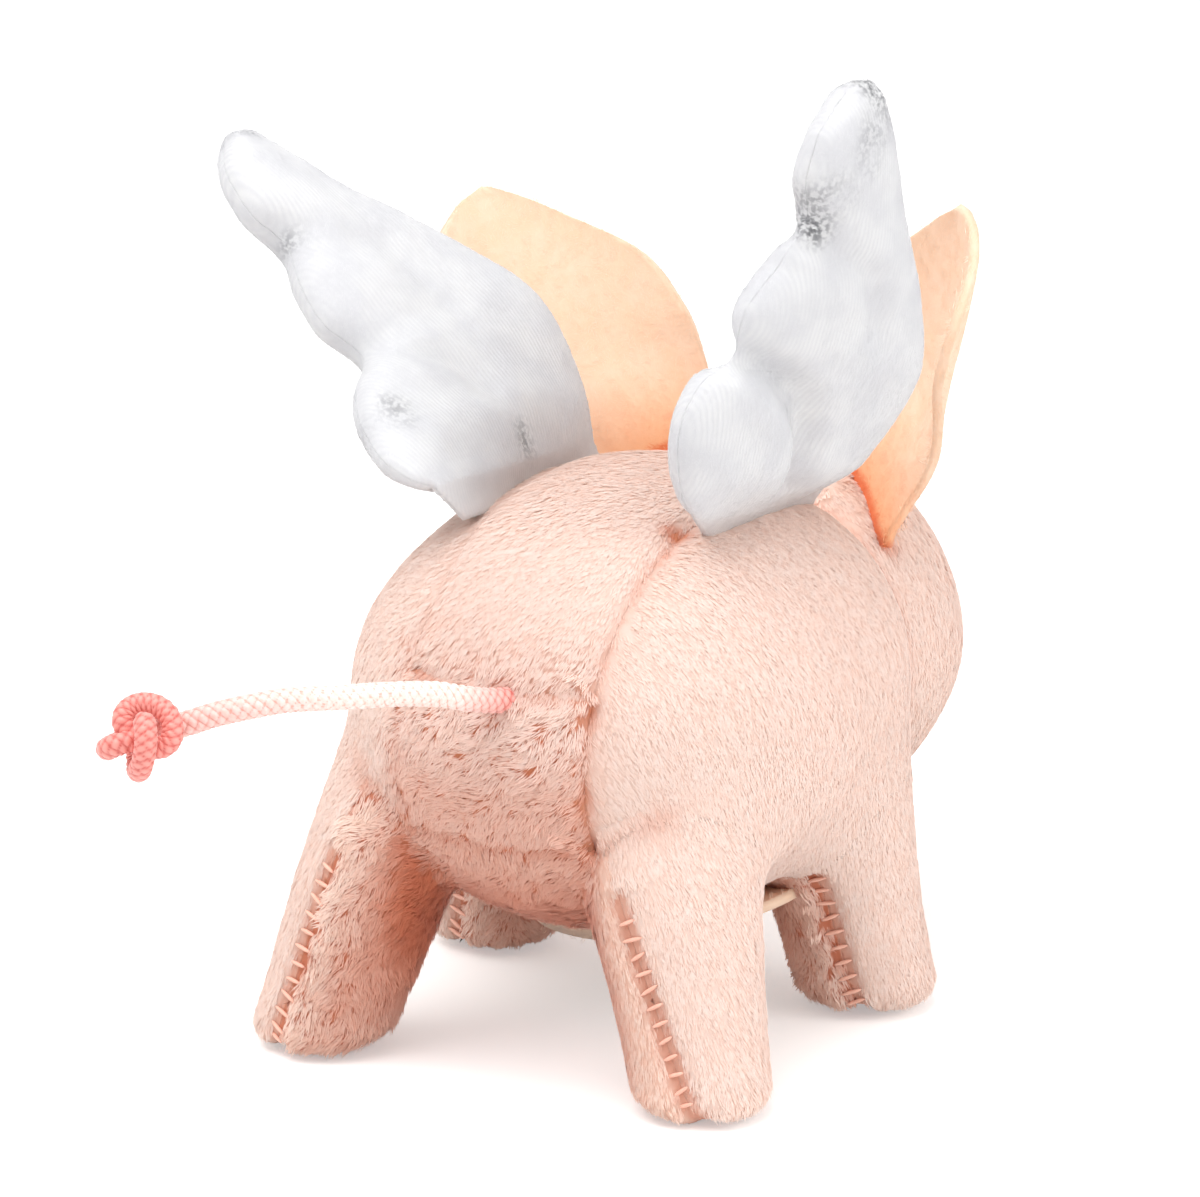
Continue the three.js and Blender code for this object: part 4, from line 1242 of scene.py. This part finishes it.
def felt_finish():
    """Clouded felt with loose fibres, with painted shade deeper and redder close to a seam,
    and a painted dark slit of shade right at it.
    """
    material, place, inputs = finish_of(
        "felt", Roughness=0.95, Sheen_Weight=0.3, Sheen_Roughness=0.5, Specular_IOR_Level=0.1,
    )
    fibres = place.noise(1400.0, 4.0)
    clouds = place.noise(260.0, 3.0)
    cloth = clouds.steps(0.3, 0.7).between(colour(254, 226, 198), colour(255, 231, 207))
    strand = place.read("tint").between(colour(254, 227, 201), colour(255, 240, 222))
    shown = place.read("tip").steps(0.05, 0.3).between(cloth, strand)
    deep = place.read("cavity").between(shown, colour(250, 186, 138))
    slit_shade = place.read("cavity").steps(0.86, 1.0).between(deep, colour(236, 124, 78))
    wire_up(inputs, Base_Color=slit_shade, Normal=fibres.bump(0.1, 0.5))
    let_through(material, 0.2, colour(255, 216, 178))
    return material


felt = felt_finish()
felt_fibres = tufts_of(
    "felt_fibres", blades=3, length=0.85, width=0.05, reach=0.4, gather=-0.3, rise=0.1,
)
FELT_FIBRE_DENSITY = 5.6
edge_of_ear = smooth_line(EAR_OUTLINE, 8)
for name, ear in EARS.items():
    side, lean = ear["side"], ear["lean"]
    width_along = np.array((-side * math.sin(EAR_TURN), math.cos(EAR_TURN), 0))
    axis = np.array((side * math.sin(lean), 0, math.cos(lean)))
    ahead = np.cross(axis, width_along) * side
    ahead /= np.linalg.norm(ahead)
    seat = np.array((joints[f"{name}_fold"] - between_feet) / MM)

    def ear_place(across, up):
        """Across the leaf and up it: cupped, a little wavy, bowed back and curled at its foot."""
        height = (EAR_LENGTH + EAR_FOOT_DEPTH) * up ** 0.85 - EAR_FOOT_DEPTH
        reach = (2 * across - 1) * np.interp(height, edge_of_ear[:, 0], edge_of_ear[:, 1])
        reach = reach + ear["shift"] * rounded_step(height, 4, 18)
        cup = EAR_CUP * rounded_step(height, 0, EAR_LENGTH / 2) * (2 * reach / EAR_WIDTH) ** 2
        wave = EAR_WAVE * np.sin(height / EAR_WAVE_LENGTH + side)
        wave = wave * rounded_step(height, 2, 20) * (2 * across - 1)
        arc = np.pi * np.clip((height + 3) / (EAR_LENGTH + 3), 0, 1)
        bow = ear["bow"] * np.abs(np.sin(arc)) ** 0.8
        curl = ear["curl"] * across * (1 - rounded_step(height, 0, EAR_CURL_HEIGHT))
        bent = np.outer(cup + wave + curl - bow, ahead)
        return seat + np.outer(reach, width_along) + np.outer(height, axis) + bent

    leaf = thick(sheet_of(44, 60, ear_place), FELT_WALL, offset=0)
    # Painted shade deepens the felt towards its foot, where the ear folds into the head
    foot = np.clip(1 - np.maximum(head_field(values_of(leaf, "co")), 0) / 8, 0, 1)
    brush(leaf, axis, 1.0, FELT_FIBRE_DENSITY, foot, 4.0, seed=20 + side)
    nap = finished(name + "_nap", piled(leaf.copy(), felt_fibres, 50 + side), name, "felt", felt)
    leaf = finished(name + "_leaf", leaf, name, "felt", felt, [name])


# Wings: two panels of white stretch velvet each, sewn together round the edge, turned and
# stuffed. Quilting lines part the lobes, handling has crushed the velvet in spots, and each wing
# flaps on its foot, which is sewn into the back.
WING_SPAN = 45
WING_SWELL = 3.5
WING_ROOT_X = 13.3
WING_ROOT_BACK = 0.5
WING_ROOT_FRONT = 23.5
WING_ROOT_DEPTH = 4
WING_HINGE_LIFT = 1.1
WING_TWIST_Y = 11
WING_RIM = 0.7
WING_THINNEST = 0.03
WING_FOOT_SHARE = 0.1
WING_FOOT_SHADE = 0.4
WING_SHADE_WIDTH = 2.6
QUILT_WIDTH = 1.9
VELVET_WALL = 0.5
# "trim" is [share of the span, how far the trailing edge is cut back there], and "crushed" is
# [distance ahead of the root's end, height, size] of each crushed spot
WINGS = {
    "right_wing": {
        "side": 1, "lean": 24, "trail_twist": 1.3, "lead_twist": 1.6, "tip_bend": 10,
        "quilting": 1.45,
        "trim": [(0.2, 0), (0.41, -1.3), (0.59, 1.5), (0.72, 0.5), (0.9, -1.8), (1, -1)],
        "crushed": [(9.5, 43, 2.4), (7, 39, 2.8), (4, 35, 2.6), (3.5, 31, 1.8), (-4.5, 6, 1.5)],
    },
    "left_wing": {
        "side": -1, "lean": 47, "trail_twist": -1.1, "lead_twist": -2.4, "tip_bend": -1.5,
        "quilting": 0.4,
        "trim": [
            (-0.1, -8.5), (-0.05, -6.5), (0, -4.5), (0.056, -3.5), (0.12, -2.2), (0.2, 0.4),
            (0.31, 2.4), (0.45, 3), (0.6, 2.6), (0.75, 1.6), (0.9, 0),
        ],
        "crushed": [
            (-5.5, 8, 2.6), (-2, 3.5, 1.8), (8.5, 1.5, 2.2), (3, 13, 1.5), (5, 31, 1.6), (9, 43, 1.8),
        ],
    },
}
# The wing's edges: [share of the span, distance ahead of the root's end]
TRAILING_EDGE = [
    (-0.1, 2), (-0.05, -1.5), (0, -5), (0.056, -7.6), (0.2, -9.1), (0.311, -6.5), (0.378, -1.9),
    (0.489, -3.1), (0.6, -1.5), (0.7, 1.5), (0.8, 1.1), (0.933, 4.1), (1, 8.1),
]
LEADING_EDGE = [
    (-0.1, 0.3), (0, 0.5), (0.322, 1.1), (0.533, -2.9), (0.711, -7.3), (0.911, -10.3), (1, -11.9),
]
trailing_line = smooth_line(TRAILING_EDGE, 8)
leading_line = smooth_line(LEADING_EDGE, 8)
# Lines of quilting between the lobes, as [distance ahead of the root's end, height], and how
# deep each is
WING_QUILTS = [
    ([(-2.5, 16.6), (2.5, 14.5), (6.5, 10), (8.5, 3)], 1.7),
    ([(1, 30.5), (5, 28.5), (9.5, 26), (12, 21)], 0.8),
]


def back_height(x, y):
    """The height of the back's surface."""
    along = np.abs((y - BODY_CENTRE[1]) / BODY_HALF[1])
    fullness = np.where(y < BODY_CENTRE[1], RUMP_FULLNESS, SHOULDER_FULLNESS)
    level = 1 - (x / BODY_HALF[0]) ** 2 - along ** fullness
    return BODY_CENTRE[2] + BODY_HALF[2] * np.sqrt(np.maximum(level, 0))


root_back = back_height(WING_ROOT_X, WING_ROOT_BACK)
root_front = back_height(WING_ROOT_X, WING_ROOT_FRONT)
root_slope = (root_front - root_back) / (WING_ROOT_FRONT - WING_ROOT_BACK)
root_middle = (WING_ROOT_BACK + WING_ROOT_FRONT) / 2
root_bulge = back_height(WING_ROOT_X, root_middle) - (root_back + root_front) / 2


def wing_place(wing, y, height, offset):
    """The place on a wing at a height over its root, and that far off its middle."""
    twist = np.where(y < WING_TWIST_Y, wing["trail_twist"], wing["lead_twist"])
    share = np.maximum(0, height / WING_SPAN)
    lean = wing["lean"] + twist * (y - WING_TWIST_Y) * (1 - share) - wing["tip_bend"] * share ** 2
    back_rise = back_height(WING_ROOT_X, y) - BODY_CENTRE[2]
    into_back = np.arctan2(WING_ROOT_X / BODY_HALF[0] ** 2, back_rise / BODY_HALF[2] ** 2)
    lean = np.where(height < 0, into_back, np.radians(lean))
    hinge = root_back + (y - WING_ROOT_BACK) * root_slope + root_bulge + WING_HINGE_LIFT
    across = WING_ROOT_X + height * np.sin(lean) + offset * np.cos(lean)
    rise = hinge + height * np.cos(lean) - offset * np.sin(lean)
    return np.stack((wing["side"] * across, y, rise), 1)


def wing_half(wing, y, height, share):
    """Half the thickness of a wing, with its quilting."""
    ramp = rounded_step(height, -3, 6)
    taper = np.sqrt(np.clip(1 - np.maximum(0, height / WING_SPAN) ** 5, 0, 1))
    side = np.sqrt(np.clip(1 - share ** 2, 0, 1))
    edge = np.clip(1 - np.abs(share) ** 9, 0, 1) ** 0.5
    edge = edge * np.sqrt(np.clip((WING_SPAN - height) / 1.2, 0, 1))
    half = WING_THINNEST + WING_RIM * edge + WING_SWELL * ramp * taper * side
    for line, depth in WING_QUILTS:
        line = smooth_line([(WING_ROOT_BACK + forward, up, 0) for forward, up in line], 10)
        away, _ = nearest(np.stack((y, height, np.zeros(len(y))), 1), [Vector(p) for p in line])
        half = half - depth * wing["quilting"] * near(away, QUILT_WIDTH) * ramp
    # Softly kept over the least thickness, so that the two panels don't meet in a valley
    least = WING_THINNEST + 0.5 * edge
    over = np.log1p(np.exp(np.clip((half - least) * 5, -20, 20))) / 5
    return least + over * np.clip(edge * 4, 0, 1)


RIB_PITCH = 0.45
RIB_SCALE = 2 * math.pi / (20 * RIB_PITCH * MM)


def velvet_finish():
    """Finely ribbed white velvet with a painted shimmer, speckled with painted grey shade and
    white sheen where it is crushed, and painted shade where the piece says so.
    """
    material, place, inputs = finish_of(
        "velvet", Roughness=0.55, Sheen_Weight=0.3, Sheen_Roughness=0.35, Specular_IOR_Level=0.3,
    )
    ribs = place.node(
        "ShaderNodeTexWave",
        {"Vector": place, "Scale": RIB_SCALE, "Distortion": 1.2, "Detail Scale": 0.3},
        output="Fac", bands_direction="Y",
    )
    shimmer = place.noise(230.0, 6.0)
    pale = shimmer.steps(0.35, 0.65).between(colour(236, 236, 239), colour(253, 253, 253))
    ribbed = (ribs * 0.7).between(pale, colour(235, 235, 238))
    bright = place.read("tint").between(colour(240, 240, 243), colour(252, 252, 253))
    shown = (place.read("tip").steps(0.0, 0.4) * 0.6).between(ribbed, bright)
    speckle = place.noise(1900.0, 3.0).steps(0.4, 0.6)
    crushed_sheen_and_shade = speckle.between(colour(255, 255, 255), colour(112, 113, 118))
    crushed = place.read("crushed").between(shown, crushed_sheen_and_shade)
    deep = place.read("cavity").between(crushed, colour(226, 206, 196))
    height = ribs * 0.6 + place.noise(900.0, 3.0)
    wire_up(inputs, Base_Color=deep, Normal=height.bump(0.1, 0.4))
    let_through(material, 0.42, colour(243, 243, 244))
    return material


VELVET_DENSITY = 6.5
velvet = velvet_finish()
velvet_tufts = tufts_of(
    "velvet_tufts", blades=6, length=0.5, width=0.09, reach=0.3, gather=0.2, rise=0.2,
)


def wing_sheet(wing, face, inset, columns, rows):
    """One side of a wing, that far inside its own cloth's surface. Its lowest share is sewn
    into the back."""
    def place(across, up):
        free = np.clip((up - WING_FOOT_SHARE) / (1 - WING_FOOT_SHARE), 0, 1)
        sewn = -WING_ROOT_DEPTH * (1 - up / WING_FOOT_SHARE)
        height = np.where(up < WING_FOOT_SHARE, sewn, WING_SPAN * (1 - (1 - free) ** 1.2))
        span = height / WING_SPAN
        share = -np.cos(np.pi * across)
        back = WING_ROOT_BACK + np.interp(span, trailing_line[:, 0], trailing_line[:, 1]) + inset
        back = back + np.interp(span, *np.transpose(wing["trim"]))
        front = WING_ROOT_FRONT + np.interp(span, leading_line[:, 0], leading_line[:, 1]) - inset
        y = (back + front) / 2 + share * (front - back) / 2
        half = np.maximum(wing_half(wing, y, height, share) - inset, WING_THINNEST)
        return wing_place(wing, y, height, face * half)

    cloth = sheet_of(columns, rows, place)
    if face * wing["side"] < 0:
        cloth.flip_normals()
    return cloth


for name, wing in WINGS.items():
    for face, panel in ((1, "outer"), (-1, "inner")):
        cloth = wing_sheet(wing, face, 0, 60, 90)
        places = values_of(cloth, "co")
        crumple = 0.25 * sway(places, 7.0, 31 + face) + 0.06 * sway(places, 2.2, 33)
        edge = 1 - np.abs(np.cos(np.pi * values_of(cloth, "across", 1))) ** 8
        moved_out(cloth, crumple * edge)
        above = np.maximum(places[:, 2] - back_height(WING_ROOT_X, places[:, 1]), 0)
        crushed = np.zeros(len(places))
        for ahead, height, size in wing["crushed"]:
            spot = wing_place(wing, np.array([WING_ROOT_BACK + ahead]), np.array([height]), 0)[0]
            away = np.linalg.norm((places - spot) * (1, 1, 0.8), axis=1)
            crushed = np.maximum(crushed, 1 - rounded_step(away, size * 0.5, size * 1.6))
        crushed *= np.clip(0.8 + 0.6 * sway(places, 3.0, 37), 0, 1)
        set_values(cloth, "crushed", crushed)
        near_back = WING_FOOT_SHADE * near(above, WING_SHADE_WIDTH)
        brush(
            cloth, (0, -0.2, 1), 0.75 + 0.4 * crushed, VELVET_DENSITY, near_back,
            0.25 + 1.5 * crushed, seed=40 + face, matted=crushed,
        )
        mesh = joined(thick(cloth.copy(), VELVET_WALL), piled(cloth, velvet_tufts, 60 + face))
        node = f"{name}_{panel}_panel"
        piece = finished(f"{node}_cloth", mesh, name, "velvet", velvet, [node])


# Finger sleeve: a tube of the ears' felt, closed by a dome at its top. Its squarish collar is
# sewn under the belly, and one corner of it hangs out between the right legs.
SLEEVE_MOUTH_RADIUS = 9.2
SLEEVE_TOP_RADIUS = 8
SLEEVE_TOP = 45
SLEEVE_DOME = 4.8
COLLAR_HALF = 13.3
COLLAR_SQUARENESS = 3.5
COLLAR_CORNER = math.radians(8)
COLLAR_CORNER_LENGTH = 2.8
COLLAR_DROOP = 2.2
COLLAR_TUCK = 4.6
COLLAR_TUCK_RISE = 2.2
COLLAR_SHARE = 0.25
WALL_SHARE = 0.55
DOME_SHARE = 0.2
SLEEVE_FIBRE_DENSITY = 1.2
belly_low = BODY_CENTRE[2] - BODY_HALF[2]


def sleeve_place(around, up):
    """Round the collar from its rim in, then up the tube and over its dome."""
    turn = 2 * np.pi * around
    from_side = turn - COLLAR_CORNER + np.pi / 4
    sides = np.abs(np.cos(from_side)) ** COLLAR_SQUARENESS
    sides = sides + np.abs(np.sin(from_side)) ** COLLAR_SQUARENESS
    towards_corner = np.maximum(0, np.cos(turn - COLLAR_CORNER))
    tucked = rounded_step(-np.sin(turn), 0.25, 0.8)
    rim = COLLAR_HALF / sides ** (1 / COLLAR_SQUARENESS)
    rim = rim + COLLAR_CORNER_LENGTH * towards_corner ** 8 - COLLAR_TUCK * tucked
    mouth = SLEEVE_MOUTH_RADIUS + FELT_WALL / 2
    top_radius = SLEEVE_TOP_RADIUS + FELT_WALL / 2
    flat = np.clip(up / COLLAR_SHARE, 0, 1)
    wall = np.clip((up - COLLAR_SHARE) / WALL_SHARE, 0, 1)
    dome = np.clip((up - (COLLAR_SHARE + WALL_SHARE)) / DOME_SHARE, 0, 1) * np.pi / 2
    on_collar = up < COLLAR_SHARE
    tube = (mouth + (top_radius - mouth) * wall) * np.cos(dome)
    reach = np.where(on_collar, rim + (mouth - rim) * flat, tube)
    x, y = reach * np.cos(turn), SLEEVE_Y + reach * np.sin(turn)
    belly = 2 * BODY_CENTRE[2] - back_height(x, y)
    droop = COLLAR_DROOP * (1 - flat) ** 2 * towards_corner ** 6
    rise = belly_low + (SLEEVE_TOP - SLEEVE_DOME - belly_low) * wall + SLEEVE_DOME * np.sin(dome)
    return np.stack((x, y, np.where(on_collar, belly - droop + COLLAR_TUCK_RISE * tucked, rise)), 1)


sleeve = joined(sheet_of(80, 60, sleeve_place), weld=1e-4)
sleeve = thick(sleeve, FELT_WALL, offset=0)
brush(sleeve, (0.3, 0.2, 1), 1.0, SLEEVE_FIBRE_DENSITY, 0.0, 4.0, seed=26)
sleeve = joined(sleeve, piled(sleeve.copy(), felt_fibres, 70))
finished("sleeve", sleeve, "root", "felt", felt, ["finger_sleeve"])


# Fillings: loose white fibre, pushed in by hand, so that it lies in lumps inside the cloth. The
# body, the head and each leg have a firm one, and each wing a softer one.
FILLING_STEP = 1.1
FILLING_DEPTH = 1.1
FILLING_LUMPS = 0.5
LEAST_DENT = 0.3
WING_FILLING_GAP = 0.4
fibre, place, inputs = finish_of("filling", Roughness=1.0, Sheen_Weight=0.3)
lumps = place.noise(700.0, 3.0)
wire_up(
    inputs, Base_Color=lumps.between(colour(228, 225, 218), colour(250, 249, 245)),
    Normal=lumps.bump(0.4, 0.7),
)
to_millimetres = TO_FRAME.inverted()
firm_fillings = ["body_filling", "head_filling", *(f"{leg}_leg_filling" for leg in LEGS)]
for number, name in enumerate(firm_fillings):
    node = frame["nodes"][name]
    lump = node.data.copy()
    lump.transform(to_millimetres @ node.matrix_world)
    lump = modified(lump, "REMESH", mode="VOXEL", voxel_size=FILLING_STEP)
    lumpiness = sway(values_of(lump, "co"), 4.0, 50 + number)
    moved_out(lump, np.minimum(-LEAST_DENT, FILLING_LUMPS * lumpiness - FILLING_DEPTH))
    piece = finished(f"{name}_fibre", lump, "root", "filling", fibre, [name])
for name, wing in WINGS.items():
    sides = [wing_sheet(wing, face, VELVET_WALL + WING_FILLING_GAP, 30, 45) for face in (1, -1)]
    pad = joined(*sides, weld=0.11)
    piece = finished(f"{name}_fibre", pad, name, "filling", fibre, [f"{name}_filling"])


# Floor and light: a pale matt floor in an even white room, with a large soft lamp overhead and a
# smaller one beside the pig. What the camera sees of the room is white and lights nothing.
BLACK = (0, 0, 0, 1)
WHITE = (1, 1, 1, 1)
FLOOR_HALF = 6000
FLOOR_GLOW = 0.36
ROOM_LIGHT = 0.75
floor_form = bmesh.new()
bmesh.ops.create_grid(floor_form, x_segments=1, y_segments=1, size=FLOOR_HALF * MM)
floor_mesh = mesh_of(floor_form, "floor")
floor = object_of(floor_mesh, "floor")


def seen_directly(wire):
    """1 for a ray that shows the room to the camera, also in a mirror or through glass."""
    rays = [
        wire.node("ShaderNodeLightPath", output=f"Is {kind} Ray")
        for kind in ("Camera", "Glossy", "Transmission")
    ]
    return rays[0] + rays[1] + rays[2]


floor_finish, place, inputs = finish_of(
    "floor", Roughness=0.9, Specular_IOR_Level=0.1, Emission_Strength=FLOOR_GLOW,
)
wire_up(
    inputs, Base_Color=place.noise(3.0).between(colour(236, 235, 234), colour(242, 241, 240)),
    Emission_Color=seen_directly(place).between(BLACK, WHITE),
)
floor_mesh.materials.append(floor_finish)

world = bpy.data.worlds.new("room")
bpy.context.scene.world = world
world.use_nodes = True
tree = world.node_tree
lit = Wire(tree, tree.nodes["Background"].outputs[0])
tree.nodes["Background"].inputs["Strength"].default_value = ROOM_LIGHT
tree.nodes["Background"].inputs["Color"].default_value = WHITE
white = lit.node("ShaderNodeBackground", {"Color": WHITE, "Strength": 1.0})
room = lit.node("ShaderNodeMixShader", {0: seen_directly(lit), 1: lit, 2: white})
tree.links.new(room.socket, tree.nodes["World Output"].inputs["Surface"])


def soft_lamp(name, place, size, power, aim=(0, 0, 35)):
    """A round lamp at a place, turned to the middle of the pig."""
    data = bpy.data.lights.new(name, "AREA")
    data.shape = "DISK"
    data.size = size * MM
    data.energy = power
    lamp = object_of(data, name)
    lamp.location = TO_FRAME @ Vector(place)
    lamp.rotation_mode = "QUATERNION"
    lamp.rotation_quaternion = (Vector(aim) - Vector(place)).to_track_quat("-Z", "Y")


soft_lamp("overhead", (-160, -200, 740), 800, 4.9)
soft_lamp("beside_pig", (720, 40, 330), 600, 2.3)
bpy.context.scene.view_settings.view_transform = "Standard"
